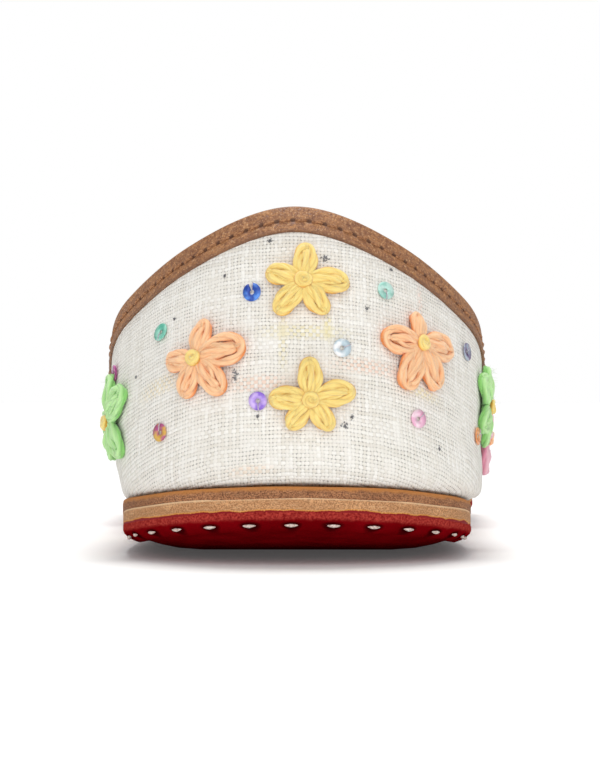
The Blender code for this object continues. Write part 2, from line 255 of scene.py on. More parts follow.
# %% [markdown]
# ## From a grid to a piece
# Almost every piece here is a skin wrapped round the shoe: a grid from `create_grid`, whose corners a
# short function puts in place, closed where its edges meet. That suits a shoe better than carving a box,
# since each row of the grid keeps its real meaning, such as a fold or a stitch row. A second function
# gives each corner its place on the flat cloth or hide, in millimetres, for the patterns to follow.

# %% A skin
def set_places(mesh, places):
    """Moves a mesh's corners to these places, given from the heel's back."""
    mesh.vertices.foreach_set("co", (places + (0.0, REAR, 0.0)).astype(np.float32).ravel())


def grids(name, count, steps, rows):
    """A mesh of like grids, with the shares 0 to 1 of each corner along the steps and the rows."""
    shape = bmesh.new()
    for _ in range(count):
        bmesh.ops.create_grid(shape, x_segments=steps, y_segments=rows, size=0.5, calc_uvs=False)
    mesh = bpy.data.meshes.new(name)
    shape.to_mesh(mesh)
    shape.free()
    corners = np.zeros(len(mesh.vertices) * 3, np.float32)
    mesh.vertices.foreach_get("co", corners)
    return mesh, corners.reshape(-1, 3)[:, :2].astype(float).T + 0.5


def lay_flat(mesh, flat):
    """Gives each corner its flat place, in millimetres."""
    users = np.zeros(len(mesh.loops), np.int32)
    mesh.loops.foreach_get("vertex_index", users)
    layer = mesh.uv_layers.new(name="Flat")
    layer.data.foreach_set("uv", flat[users].astype(np.float32).ravel())


def close_up(mesh, reach):
    """Joins the corners that meet within this reach, and turns all faces outward."""
    shape = bmesh.new()
    shape.from_mesh(mesh)
    bmesh.ops.remove_doubles(shape, verts=shape.verts, dist=reach)
    bmesh.ops.recalc_face_normals(shape, faces=shape.faces)
    shape.to_mesh(mesh)
    shape.free()
    return mesh


def skin(name, steps, rows, place, flat):
    """A grid of steps by rows, each corner put by place(step, row), with the shares 0 to 1 of both."""
    mesh, (step, row) = grids(name, 1, steps, rows)
    set_places(mesh, place(step, row))
    lay_flat(mesh, np.stack(flat(step, row), axis=1))
    return close_up(mesh, 1e-6)


def table_row(table, row):
    """The columns of a table of rows, at a share from 0 to 1."""
    return table[np.round(row * (len(table) - 1)).astype(int)].T


def put(name, data):
    """A new object in the scene."""
    thing = bpy.data.objects.new(name, data)
    bpy.context.scene.collection.objects.link(thing)
    return thing


def show(name, mesh, material, slot, *nodes):
    """Puts a mesh in the scene as a piece of the shoe, standing for these nodes."""
    piece = put(name, mesh)
    for one in material if isinstance(material, list) else [material]:
        mesh.materials.append(one)
    mesh.shade_smooth()
    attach(piece, "root")
    if nodes:
        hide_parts(*nodes)
    flats = sum(len(face.vertices) - 2 for face in mesh.polygons)
    print(name, flats, "triangles")


# %% [markdown]
# ## Materials
# Every finish is a small network of nodes. One helper adds a node with its settings and links, so that
# each recipe below reads as a list of steps. Colours are written as a painter would pick them, in sRGB.

# %% Helpers for the finishes
def hex_colour(code):
    """An sRGB hex code as the linear colour that the shader needs."""
    channels = [int(code[i:i + 2], 16) / 255 for i in (0, 2, 4)]
    return [c / 12.92 if c <= 0.04045 else ((c + 0.055) / 1.055) ** 2.4 for c in channels] + [1.0]


def new_material(name, **settings):
    """A material with its principled shader, set by socket name."""
    material = bpy.data.materials.new(name)
    material.use_nodes = True
    shader = material.node_tree.nodes["Principled BSDF"]
    for socket, value in settings.items():
        shader.inputs[socket.replace("_", " ")].default_value = value
    return material, material.node_tree, shader


def add(tree, kind, links=None, **settings):
    """Adds one node. Links go from socket name or number to a node's output or a plain value."""
    node = tree.nodes.new("ShaderNode" + kind)
    for name, value in settings.items():
        setattr(node, name, value)
    for socket, source in (links or {}).items():
        if isinstance(source, bpy.types.NodeSocket):
            tree.links.new(source, node.inputs[socket])
        else:
            node.inputs[socket].default_value = source
    return node


def math_of(tree, operation, *values):
    """The result of one Math node."""
    links = {i: value for i, value in enumerate(values)}
    return add(tree, "Math", links, operation=operation).outputs[0]


def times(tree, first, second):
    """The product of two values."""
    return math_of(tree, "MULTIPLY", first, second)


def scaled(tree, value, factor, plus):
    """A value times a factor, plus another one."""
    return math_of(tree, "MULTIPLY_ADD", value, factor, plus)


def mixed(tree, share, first, second):
    """Two colours mixed by a share. Each is the output of a node or an sRGB hex code."""
    first, second = (hex_colour(one) if isinstance(one, str) else one for one in (first, second))
    return add(tree, "Mix", {0: share, 6: first, 7: second}, data_type="RGBA").outputs[2]


def ramp(tree, value, start, end, low=0.0, high=1.0):
    """A value brought from one range to another, eased, and held at the ends."""
    links = {0: value, 1: start, 2: end, 3: low, 4: high}
    return add(tree, "MapRange", links, interpolation_type="SMOOTHSTEP").outputs[0]


def noise(tree, where, scale, detail=2.0, roughness=0.5):
    """Cloudy noise from 0 to 1."""
    links = {"Vector": where, "Scale": scale, "Detail": detail, "Roughness": roughness}
    return add(tree, "TexNoise", links).outputs["Fac"]


def stretched(tree, where, x, y, z=1.0):
    """The same coordinates, scaled apart."""
    return add(tree, "Mapping", {"Vector": where, "Scale": (x, y, z)}).outputs[0]


def on_body(tree):
    """The shoe's own coordinates, in metres."""
    return add(tree, "TexCoord").outputs["Object"]


def paint(tree, shader, colour):
    """Gives the shader its colour."""
    tree.links.new(colour, shader.inputs["Base Color"])


def raise_surface(tree, shader, height, distance, strength):
    """Bump of a real height, in metres."""
    links = {"Height": height, "Distance": distance, "Strength": strength}
    tree.links.new(add(tree, "Bump", links).outputs[0], shader.inputs["Normal"])


# %% [markdown]
# ## Camera
# The photograph looks level at the heel's back from about 45 cm, from a hair to the right of the centre
# line. Two small shifts place the shoe in the picture as the photograph does.

# %% The camera
SENSOR = 36.0
PIXELS_HIGH = 767
PIXELS_WIDE = 600
FOCAL_PIXELS = 2724.0
CAMERA_BACK = 450 * MM
CAMERA_HEIGHT = 30 * MM
CAMERA_SIDE = 4.5 * MM
CAMERA_TURN = math.radians(0.573)
SHIFT_ACROSS = 5.3
SHIFT_DOWN = 2.5
lens = bpy.data.cameras.new("camera")
lens.sensor_width = SENSOR
lens.lens = FOCAL_PIXELS * SENSOR / PIXELS_HIGH
lens.shift_x = SHIFT_ACROSS / PIXELS_HIGH
lens.shift_y = SHIFT_DOWN / PIXELS_HIGH
lens.clip_start = 0.01
camera = put("camera", lens)
camera.location = (CAMERA_SIDE, REAR - CAMERA_BACK, CAMERA_HEIGHT)
camera.rotation_euler = (math.pi / 2, 0.0, CAMERA_TURN)
bpy.context.scene.camera = camera


def in_picture(places):
    """Where places of the shoe fall in the picture, in pixels from its top left corner."""
    ahead = places[..., 1] + CAMERA_BACK
    side_step = places[..., 0] - CAMERA_SIDE
    forward = ahead * math.cos(CAMERA_TURN) - side_step * math.sin(CAMERA_TURN)
    right = side_step * math.cos(CAMERA_TURN) + ahead * math.sin(CAMERA_TURN)
    across = PIXELS_WIDE / 2 - SHIFT_ACROSS + FOCAL_PIXELS * right / forward
    down = PIXELS_HIGH / 2 + SHIFT_DOWN - FOCAL_PIXELS * (places[..., 2] - CAMERA_HEIGHT) / forward
    return across, down


# The part of the wall that the camera sees, as a fine net of places
NET = np.meshgrid(np.linspace(-0.22, 0.22, 900), np.linspace(0.0, 1.0, 240))
NET_AROUND, NET_UP = (side.ravel() for side in NET)
NETS = {}


def seen_at(across, down, proud=0.0):
    """The place on the wall, as around and up, over which a thing this proud shows at this pixel."""
    if proud not in NETS:
        NETS[proud] = in_picture(wall(NET_AROUND, NET_UP, -proud))
    net_across, net_down = NETS[proud]
    nearest = np.argmin((net_across - across) ** 2 + (net_down - down) ** 2)
    return NET_AROUND[nearest], NET_UP[nearest]


rear_top = in_picture(wall(np.array([0.0]), np.array([1.0]), WALL / 2))
print("top of the heel in the picture", [round(float(v[0]), 1) for v in rear_top])

# %% [markdown]
# ## The cotton
# The upper is undyed cotton in a coarse plain weave: one and a half threads to the millimetre, with small
# gaps at every crossing, where grey shade is painted, thicker threads here and there, a few pastel ones, and
# dark flecks of seed. The weave is drawn from two waves that take turns, one for each set of threads, on the
# cloth's own flat measure in millimetres, so its rows bend with the cut of the cloth.

# %% Plain weave
THREAD_MM = 0.645


def flat_parts(tree):
    """The two flat coordinates of a piece, in millimetres, and both as one vector."""
    vector = add(tree, "UVMap", uv_map="Flat").outputs[0]
    parts = add(tree, "SeparateXYZ", {0: vector}).outputs
    return parts[0], parts[1], vector


def thread_height(tree, across, along):
    """Height of one set of threads: round across each thread, and over and under along it."""
    crown = math_of(tree, "ABSOLUTE", math_of(tree, "SINE", times(tree, across, math.pi)))
    crown = math_of(tree, "POWER", crown, 0.6)
    turn = math_of(tree, "ADD", along, math_of(tree, "FLOOR", across))
    wave = math_of(tree, "SINE", times(tree, turn, math.pi))
    return crown, scaled(tree, wave, 0.5, 0.5)


def thread_looks(tree, place, along_mm, apart, slub_scale):
    """One brightness for each thread, and slow changes along it as the spinning varies."""
    number = math_of(tree, "FLOOR", place)
    tone = add(tree, "TexWhiteNoise", {"W": number}, noise_dimensions="1D").outputs[0]
    line = add(tree, "CombineXYZ", {0: times(tree, number, apart), 1: along_mm}).outputs[0]
    return tone, ramp(tree, noise(tree, line, slub_scale), 0.45, 0.72)


def near(tree, value, middle, half, core):
    """1 about a middle, out to this core share of a half width, and 0 beyond the half width."""
    away = math_of(tree, "ABSOLUTE", math_of(tree, "SUBTRACT", value, middle))
    return ramp(tree, away, half, half * core)


def woven(name, thread_mm, colours, gap_shade_colour, pastels=()):
    """Matt cotton: two sets of threads, unevenly spun, with painted shade in the gaps between them."""
    material, tree, shader = new_material(
        name, Roughness=0.92, Sheen_Weight=0.25, Sheen_Roughness=0.6, Specular_IOR_Level=0.25)
    u_mm, v_mm, flat = flat_parts(tree)
    # Hand-spun threads wander from their straight line by a good part of their width
    wander = noise(tree, flat, 0.35, 1.0)
    other = noise(tree, stretched(tree, flat, 0.9, 1.1), 0.31, 1.0)
    u = scaled(tree, u_mm, 1 / thread_mm, times(tree, wander, 0.9))
    v = scaled(tree, v_mm, 1 / thread_mm, times(tree, other, 0.9))
    warp = times(tree, *thread_height(tree, u, v))
    weft_crown, weft_turn = thread_height(tree, v, u)
    weft = times(tree, weft_crown, math_of(tree, "SUBTRACT", 1.0, weft_turn))
    height = math_of(tree, "MAXIMUM", warp, weft)
    # The level rows of thread are thicker, which leaves gaps that are wider than high
    closed = math_of(tree, "MAXIMUM", times(tree, warp, 0.85), times(tree, weft, 1.20))
    warp_tone, warp_slub = thread_looks(tree, u, v_mm, 7.3, 0.12)
    weft_tone, weft_slub = thread_looks(tree, v, u_mm, 5.7, 0.10)
    is_warp = math_of(tree, "GREATER_THAN", warp, weft)
    is_weft = math_of(tree, "SUBTRACT", 1.0, is_warp)
    tone = mixed(tree, is_warp, weft_tone, warp_tone)
    slub = mixed(tree, is_warp, weft_slub, warp_slub)
    colour = mixed(tree, tone, *colours)
    colour = mixed(tree, times(tree, slub, 0.8), colour, "FFFDF8")
    for tint, u0, v0, u_half, v_half, sets in pastels:
        own, picked = (is_warp, warp_tone) if sets == "warp" else (is_weft, weft_tone)
        there = times(tree, near(tree, u_mm, u0, u_half, 0.1), near(tree, v_mm, v0, v_half, 0.3))
        there = times(tree, there, scaled(tree, own, 0.65, 0.15))
        there = times(tree, there, scaled(tree, picked, 0.4, 0.6))
        colour = mixed(tree, there, colour, tint)
    # Painted shade in the gaps: they close where a thick thread runs, so the shade shows in dashes of uneven
    # strength
    uneven = ramp(tree, noise(tree, flat, 0.30, 3.0, 0.6), 0.34, 0.64, 0.30, 1.0)
    shut = scaled(tree, math_of(tree, "MAXIMUM", warp_slub, weft_slub), -0.85, 1.0)
    painted_gap_shade = times(tree, ramp(tree, closed, 0.56, 0.16), times(tree, uneven, shut))
    colour = mixed(tree, painted_gap_shade, colour, gap_shade_colour)
    clouds = ramp(tree, noise(tree, flat, 0.06, 3.0), 0.35, 0.7, 0.0, 0.10)
    paint(tree, shader, mixed(tree, clouds, colour, "D9D2C4"))
    fibres = noise(tree, stretched(tree, flat, 3.0, 3.0), 1.6, 3.0, 0.7)
    surface = scaled(tree, fibres, 0.30, scaled(tree, slub, 0.35, height))
    raise_surface(tree, shader, surface, 0.16 * MM, 1.0)
    return material


# The few dyed yarns that the photograph shows: tint, pixel, half extent along and up in millimetres, set
DYED_YARNS = [
    ("F3E6A8", (305, 331), 10.0, 1.6, "weft"),
    ("F1E49E", (328, 328), 1.1, 3.0, "warp"),
    ("F3E6B0", (283, 340), 1.1, 6.0, "warp"),
    ("F6CDB4", (258, 383), 7.0, 1.8, "weft"),
    ("F6CFB8", (366, 366), 8.5, 1.7, "weft"),
    ("F3E3BE", (160, 386), 9.0, 2.2, "weft"),
    ("F4DCC4", (250, 470), 6.0, 1.2, "weft"),
    ("EFE6B8", (420, 392), 7.0, 1.4, "weft"),
    ("F5D6C6", (420, 300), 1.0, 4.0, "warp"),
]


LINING_COTTON = woven("cotton_lining_plain_weave", 0.5, ("E2DACB", "ECE5D8"), "A79F8F")

# %% [markdown]
# ## The upper's cloth
# The quarter is one piece of cloth round the heel, and the vamp another over the toes. They lap at a plain
# side seam, which the photograph doesn't show. Both are thin closed skins that follow the wall's formula, so
# the last shows through them. Soft troughs and ridges are set one by one, as a crumpled and hand-embroidered
# cloth has them.

# %% Creases
# Round half the shoe, and up the wall, in millimetres, as the creases below are counted
FOOT_TRAVEL = 285.0
RIB_TRAVEL = 45.0
# Just above the sole the heel's sides roll out, more on the right. Where round the shoe, how far it spreads,
# how high up the wall, how far below and above that, and how proud on the left and on the right in mm
ROLL_AT, ROLL_SPREAD = 0.20, 0.13
ROLL_UP, ROLL_BELOW, ROLL_ABOVE = 0.09, 0.07, 0.20
ROLL_LEFT, ROLL_RIGHT = 0.40, 2.0
# Each: around, up, how far it runs, how wide it is, its turn in degrees, its height. All sizes in mm
CREASES = np.array([
    (-0.055, 0.10, 16, 2.6, 2, 0.22),
    (0.060, 0.12, 18, 2.8, -3, 0.20),
    (0.000, 0.24, 26, 3.2, 1, -0.16),
    (-0.100, 0.50, 9, 3.0, 50, -0.20),
    (0.110, 0.48, 9, 3.0, -48, -0.18),
    (-0.030, 0.60, 10, 3.5, -30, 0.14),
    (0.040, 0.55, 11, 3.5, 35, 0.14),
    (-0.200, 0.30, 16, 3.0, 15, 0.25),
    (0.215, 0.28, 16, 3.0, -15, 0.25),
    (-0.330, 0.40, 14, 3.0, 20, -0.30),
    (0.345, 0.40, 14, 3.0, -20, -0.30),
    (-0.400, 0.20, 12, 2.6, -10, 0.30),
    (0.410, 0.20, 12, 2.6, 10, 0.30),
    (-0.560, 0.75, 16, 3.5, 60, -0.40),
    (0.570, 0.78, 16, 3.5, -60, -0.40),
    (-0.620, 0.62, 14, 3.5, 50, 0.35),
    (0.630, 0.60, 14, 3.5, -50, 0.35),
    (-0.780, 0.25, 12, 3.0, 10, -0.30),
    (0.790, 0.22, 12, 3.0, -10, -0.30),
    (0.930, 0.55, 14, 4.0, 80, 0.25),
    (-0.930, 0.50, 14, 4.0, -80, -0.25),
])


def relief(around, up):
    """How far the cloth stands out or in at its creases, in metres."""
    signed = np.mod(around + 1.0, 2.0) - 1.0
    height = np.zeros(np.broadcast(around, up).shape)
    for place, level, runs, wide, turn, proud in CREASES:
        x = (signed - place) * FOOT_TRAVEL
        y = (up - level) * RIB_TRAVEL
        angle = math.radians(turn)
        far = x * math.cos(angle) + y * math.sin(angle)
        off = y * math.cos(angle) - x * math.sin(angle)
        height = height + proud * MM * np.exp(-(far / runs) ** 2 - (off / wide) ** 2)
    height = height * eased(share_between(up, 0.0, 0.12)) * eased(share_between(up, 1.0, 0.9))
    proud = np.where(signed > 0, ROLL_RIGHT, ROLL_LEFT)
    sides = np.exp(-(((np.abs(signed) - ROLL_AT) / ROLL_SPREAD) ** 2)) * proud
    reach = np.where(up > ROLL_UP, ROLL_ABOVE, ROLL_BELOW)
    roll = sides * MM * np.exp(-(((up - ROLL_UP) / reach) ** 2))
    return height + roll * eased(share_between(up, 0.0, 0.03))


def cloth(around, up, depth):
    """A place in the cloth, creases included."""
    return wall(around, up, depth - relief(around, up))


# %% Where each thread lies on the cut cloth
def length_along(points):
    """Length run along a line up to each of its points, in metres."""
    return np.r_[0.0, np.cumsum(np.linalg.norm(np.diff(points, axis=0), axis=1))]


FOOT_MARKS = np.linspace(0.0, 1.0, 1201)
FOOT_EDGE = on_sole(FOOT_MARKS, FEATHER_INSET, UPPER_SEAT)
FOOT_LENGTH = length_along(FOOT_EDGE) / MM
# Once round the whole foot, in millimetres
FOOT_ROUND = 2 * FOOT_LENGTH[-1]
# The quarter is cut on a bow: its sole edge turns up by this much against the threads, over this length
BOW = math.radians(15)
BOW_MM = 26.0
BOW_TURN = BOW * eased(share_between(FOOT_LENGTH, 0.0, BOW_MM))
BOW_V = np.cumsum(np.sin(BOW_TURN) * np.diff(FOOT_LENGTH, prepend=0.0))
# Length round the wall at some of its heights, since the columns of threads keep their spacing
HEIGHTS = np.linspace(0.0, 1.0, 9)
ROUND_LINES = [wall_face(FOOT_MARKS, np.full_like(FOOT_MARKS, u)) for u in HEIGHTS]
ROUND_TRAVEL = [length_along(line) / MM for line in ROUND_LINES]


def rib_travel(around, up):
    """Length of the wall from the sole up to this height, in millimetres."""
    steps = 8
    travel = np.zeros(np.broadcast(around, up).shape)
    last = wall_face(around, np.zeros_like(up))
    for i in range(1, steps + 1):
        place = wall_face(around, np.clip(up, 0, 1.2) * i / steps)
        travel = travel + np.linalg.norm(place - last, axis=-1) / MM
        last = place
    return travel


def quarter_flat(around, up):
    """Flat place on the quarter's cloth, for places from -1 to 1 round the shoe."""
    share = np.abs(around)
    layers = np.array([np.interp(share, FOOT_MARKS, travel) for travel in ROUND_TRAVEL])
    level = np.clip(up, 0.0, 1.0) * (len(HEIGHTS) - 1)
    index = np.minimum(level.astype(int), len(HEIGHTS) - 2)
    part = level - index
    which = np.arange(len(share))
    u = layers[index, which] * (1 - part) + layers[index + 1, which] * part
    return u * np.sign(around), np.interp(share, FOOT_MARKS, BOW_V) + rib_travel(around, up)


CENTRE_UP = np.linspace(0.0, 1.0, 60)
CENTRE_LINE = wall_face(np.ones(60), CENTRE_UP)
CENTRE_TRAVEL = length_along(CENTRE_LINE) / MM


def vamp_flat(around, up):
    """Flat place on the vamp's cloth, whose threads run along and across the shoe."""
    place = wall_face(around, np.clip(up, 0, 1.2))
    # The centre line runs from the toe back to the throat
    top = np.interp(-place[..., 1], -CENTRE_LINE[:, 1], CENTRE_LINE[:, 2])
    along_centre = np.interp(-place[..., 1], -CENTRE_LINE[:, 1], CENTRE_TRAVEL)
    behind = np.maximum(CENTRE_LINE[-1, 1] - place[..., 1], 0.0) / MM
    across = 1.05 * np.hypot(place[..., 0], top - place[..., 2]) / MM
    return across * np.sign(place[..., 0]), along_centre + behind


# %% The cloth, with its dyed yarns in place
def placed_yarn(tint, pixel, u_half, v_half, sets):
    """A dyed yarn's middle on the flat cloth, and how far it shows each way, in millimetres."""
    u, v = quarter_flat(*(np.array([value]) for value in seen_at(*pixel)))
    return tint, float(u[0]), float(v[0]), u_half, v_half, sets


PLACED_YARNS = [placed_yarn(*yarn) for yarn in DYED_YARNS]
THREADS = ("EAE5DB", "F8F5EE")
# The threads' two tones, and the painted shade in the gaps between them
GAP_SHADE = "7A756E"
UPPER_COTTON = woven("undyed_cotton_plain_weave", THREAD_MM, THREADS, GAP_SHADE, PLACED_YARNS)
VAMP_COTTON = woven("undyed_cotton_plain_weave_vamp", THREAD_MM, THREADS, GAP_SHADE)

# %% The quarter, the vamp and the lining
SEAM = 0.487
LAP = 0.026
LAP_RISE = 0.5 * MM
CLOTH_THICK = 0.9 * MM
CLOTH_ROWS = 44
TUCK = 0.9 * MM


def cloth_section(row, thick_outer, thick_inner):
    """Height and depth round a strip of cloth: up its outer face, then down its inner one."""
    up = np.clip(1 - np.abs(row * 2 - 1), 0, 1)
    inside = row > 0.5
    return up, np.where(inside, thick_inner, thick_outer)


def cloth_strip(name, start, end, outer, flat, steps):
    """A closed strip of cloth on the wall, with both ends pinched shut."""
    def where(step, row):
        """The strip's places on the wall."""
        around = start + (end - start) * step
        up, depth = cloth_section(row, 0.0, CLOTH_THICK)
        pinch = eased(np.minimum(share_between(step, 0.0, 0.004), share_between(step, 1.0, 0.996)))
        # The lap lies flat again where the binding grips it
        edge = below_edge(around, BINDING_WIDTH + 1.5 * MM)
        lap = outer(around) * share_between(up, edge + 0.05, edge)
        depth = lap + np.where(depth > 0, depth * pinch, 0.0)
        # At the sole the cloth turns under
        tucked = TUCK * (1 - share_between(up, 0.0, 0.045)) ** 2.5
        depth = depth + np.where(row > 0.5, 0.0, tucked)
        low = np.maximum(0.02 - up, 0.0) * 22 * MM
        return cloth(around, up, depth) - low[:, None] * (0, 0, 1)

    def measure(step, row):
        """The strip's flat places."""
        around = start + (end - start) * step
        return flat(around, cloth_section(row, 0, 1)[0])

    return skin(name, steps, CLOTH_ROWS * 2, where, measure)


def quarter_rise(around):
    """The quarter's front edges lie on the vamp."""
    return -LAP_RISE * eased(share_between(np.abs(around), SEAM - LAP, SEAM - 0.006))


def vamp_rise(around):
    """The vamp lies a little inside the wall's face."""
    return np.full_like(around, 0.05 * MM)


quarter = cloth_strip("quarter_cloth", -SEAM, SEAM, quarter_rise, quarter_flat, 420)
show("quarter_cloth", quarter, UPPER_COTTON, "cotton", "upper")
vamp = cloth_strip("vamp_cloth", SEAM - LAP, 2 - SEAM + LAP, vamp_rise, vamp_flat, 380)
show("vamp_cloth", vamp, VAMP_COTTON, "cotton", "upper")


def lining_place(step, row):
    """The lining runs round the whole inside."""
    up, depth = cloth_section(row, CLOTH_THICK - 0.05 * MM, WALL)
    return cloth(step * 2, up, depth)


def lining_flat(step, row):
    """The lining's weave follows the wall's length and height."""
    return step * FOOT_ROUND, rib_travel(step * 2, cloth_section(row, 0, 1)[0])


lining = skin("lining", 360, 48, lining_place, lining_flat)
show("lining", lining, LINING_COTTON, "cotton", "upper")

# %% [markdown]
# ## The sole
# Three layers of vegetable-tanned cow hide: a brown rand that the upper stands on, a tan midsole, and an
# outsole painted red. Their cut edges are fibrous and uneven, since they are trimmed with a knife. Each
# layer is a skin whose rows run from the middle out to the rim, round the edge and back.

# %% Leather finishes of the sole
def cut_hide(name, base, light, dark):
    """Raw cut edge of hide: matt, with loose fibres lying along it."""
    material, tree, shader = new_material(name, Roughness=0.82, Specular_IOR_Level=0.3)
    _, level_mm, flat = flat_parts(tree)
    fine = noise(tree, stretched(tree, on_body(tree), 1.0, 1.0, 1.2), 4000.0, 2.0, 0.7)
    long = noise(tree, stretched(tree, flat, 0.5, 3.0), 1.0, 4.0, 0.65)
    wide = noise(tree, stretched(tree, flat, 0.10, 0.5), 1.0)
    colour = mixed(tree, ramp(tree, fine, 0.40, 0.60), dark, base)
    colour = mixed(tree, ramp(tree, long, 0.50, 0.70, 0.0, 0.4), colour, light)
    colour = mixed(tree, ramp(tree, wide, 0.35, 0.65, 0.0, 0.35), colour, dark)
    raise_surface(tree, shader, scaled(tree, long, 0.6, fine), 0.12 * MM, 0.7)
    return material, tree, shader, colour, level_mm, flat


def finish_rand():
    """The rand's edge is brown, with a painted highlight line along its upper corner."""
    material, tree, shader, colour, level_mm, flat = cut_hide(
        "brown_cow_hide_cut_edge", "B88057", "DDAA7C", "6E4630")
    ragged = scaled(tree, noise(tree, flat, 0.5, 3.0), 0.9, level_mm)
    # Painted highlight along the upper corner
    painted_top_highlight = ramp(tree, ragged, 5.80, 6.45, 0.0, 0.80)
    paint(tree, shader, mixed(tree, painted_top_highlight, colour, "BE7C3E"))
    return material


def finish_midsole():
    """The midsole's edge is tan. Red paint has crept up from the outsole, with an orange fringe."""
    material, tree, shader, colour, level_mm, flat = cut_hide(
        "tan_cow_hide_cut_edge", "DAA473", "F2CFA2", "9D6E49")
    ragged = times(tree, noise(tree, stretched(tree, flat, 1.0, 0.2), 0.15), 1.5)
    teeth = noise(tree, stretched(tree, flat, 4.0, 0.4), 1.0, 3.0, 0.7)
    edge = math_of(tree, "SUBTRACT", level_mm, scaled(tree, teeth, 0.60, ragged))
    colour = mixed(tree, ramp(tree, edge, 1.54, 1.30, 0.0, 0.75), colour, "DC9034")
    colour = mixed(tree, ramp(tree, edge, 1.30, 1.20), colour, "8A171B")
    # Its upper corner is painted paler, as a highlight line
    paint(tree, shader, mixed(tree, ramp(tree, level_mm, 3.95, 4.30, 0.0, 0.7), colour, "EFCFA6"))
    return material


SOLE_STITCHES = 79
SOLE_STITCH_STEP = FOOT_ROUND / SOLE_STITCHES
SOLE_STITCH_START = -0.6
SOLE_STITCH_LONG = 2.7
# The row runs on the rounded rim: this far inside the outline, this high above the underside
SOLE_ROW_INSET = 1.1 * MM
SOLE_ROW_LEVEL = 0.29 * MM
# Half the length and half the height of a pit, in millimetres
PIT_LONG = 1.8
PIT_HIGH = 0.30
# The sole's flat measure falls by this many millimetres from the rim to the middle
FLAT_REACH = 30.0


def finish_outsole():
    """The outsole is painted red: smooth beneath, with a pit at each stitch, and rough on its cut edge."""
    material, tree, shader = new_material("red_painted_cow_hide", Specular_IOR_Level=0.0)
    along_mm, level_mm, flat = flat_parts(tree)
    body = on_body(tree)
    fine = noise(tree, body, 2600.0, 3.0, 0.7)
    border = scaled(tree, noise(tree, stretched(tree, flat, 0.6, 0.2), 1.0, 3.0), 0.5, level_mm)
    on_edge = ramp(tree, border, 0.85, 1.35)
    matt = mixed(tree, ramp(tree, fine, 0.3, 0.7), "7A1618", "B9443B")
    clouds = noise(tree, stretched(tree, flat, 0.12, 0.3), 1.0, 3.0)
    gloss = mixed(tree, ramp(tree, clouds, 0.3, 0.7), "6C0209", "82050F")
    # Painted contact shade: the part nearest the floor is darkened towards it
    level = add(tree, "SeparateXYZ", {0: body}).outputs["Z"]
    painted_contact_shade = scaled(tree, noise(tree, body, 300.0, 3.0), 1.2 * MM, level)
    gloss = mixed(tree, ramp(tree, painted_contact_shade, 4.4 * MM, 1.4 * MM, 0.0, 0.75), gloss, "1E0203")
    colour = mixed(tree, on_edge, gloss, matt)
    # The pits: long dents, one at each stitch of the row, filled with painted shade
    shift = 0.5 - SOLE_STITCH_START / SOLE_STITCH_STEP
    number = scaled(tree, along_mm, 1 / SOLE_STITCH_STEP, shift)
    beyond = math_of(tree, "SUBTRACT", math_of(tree, "FRACT", number), 0.5)
    pit_u = times(tree, beyond, SOLE_STITCH_STEP / PIT_LONG)
    pit_v = scaled(tree, level_mm, 1 / PIT_HIGH, -SOLE_ROW_LEVEL / MM / PIT_HIGH)
    spot = math_of(tree, "ADD", times(tree, pit_u, pit_u), times(tree, pit_v, pit_v))
    pit_dent_and_shade = ramp(tree, spot, 1.5, 0.3)
    # Painted shade in each pit
    paint(tree, shader, mixed(tree, times(tree, pit_dent_and_shade, 0.85), colour, "260204"))
    tree.links.new(ramp(tree, on_edge, 0.0, 1.0, 0.34, 0.80), shader.inputs["Roughness"])
    grain = times(tree, fine, scaled(tree, on_edge, 0.9, 0.1))
    raise_surface(tree, shader, scaled(tree, pit_dent_and_shade, -2.0, grain), 0.14 * MM, 0.8)
    return material


# %% The three layers
PLATE_STEPS = 420


def wavy(around, phase, size):
    """A slow unevenness round the shoe, with a few whole waves in it."""
    turn = around * math.pi
    fast = 0.7 * np.sin(17 * turn + 2 * phase) + 0.5 * np.sin(31 * turn + 3 * phase)
    return size * (np.sin(9 * turn + phase) + fast) / 2.2


FOOT_SHARES = (0.0, 0.3, 0.6, 0.75, 0.86, 0.94)


def plate(name, base, top, inset, edge_round, foot_round, uneven, phase, material, slot):
    """One leather layer: under its middle, out to the rim, round the edge, and back over the top."""
    corner = np.linspace(0, math.pi / 2, 5)
    foot_in, foot_up = foot_round
    sines = [(1 - math.sin(t), 1 - math.cos(t)) for t in corner]
    section = [(share, foot_in, base) for share in FOOT_SHARES]
    section += [(1.0, foot_in * sine, base + foot_up * cosine) for sine, cosine in sines]
    section += [(1.0, edge_round * cosine, top - edge_round * sine) for sine, cosine in sines]
    section += [(share, 0.0, top) for share in FOOT_SHARES[::-1]]
    section = np.array(section)

    def where(step, row):
        """The layer's places, its waviness included."""
        around = 2 * step
        share, edge_inset, level = table_row(section, row)
        edge_inset = inset + edge_inset + wavy(around, phase, uneven)
        upper_half = level > (base + top) / 2
        level = level + np.where(upper_half, wavy(around, phase + 1, uneven * 0.8), 0)
        rim = on_sole(around, edge_inset, level)
        centre = spine(on_ring(OUTLINE, around))
        place = centre + (rim * (1, 1, 0) - centre) * share[:, None]
        place[:, 2] = np.where(share == 1.0, rim[:, 2], floor_gap(place[:, 1], share) + level)
        return place

    def measure(step, row):
        """Length round the rim, and height less the way in from the rim."""
        share, _, level = table_row(section, row)
        return step * FOOT_ROUND, level / MM - (1 - share) * FLAT_REACH

    mesh = skin(name, PLATE_STEPS, len(section) - 1, where, measure)
    show(name, mesh, material, slot, name.replace("_leather", ""))


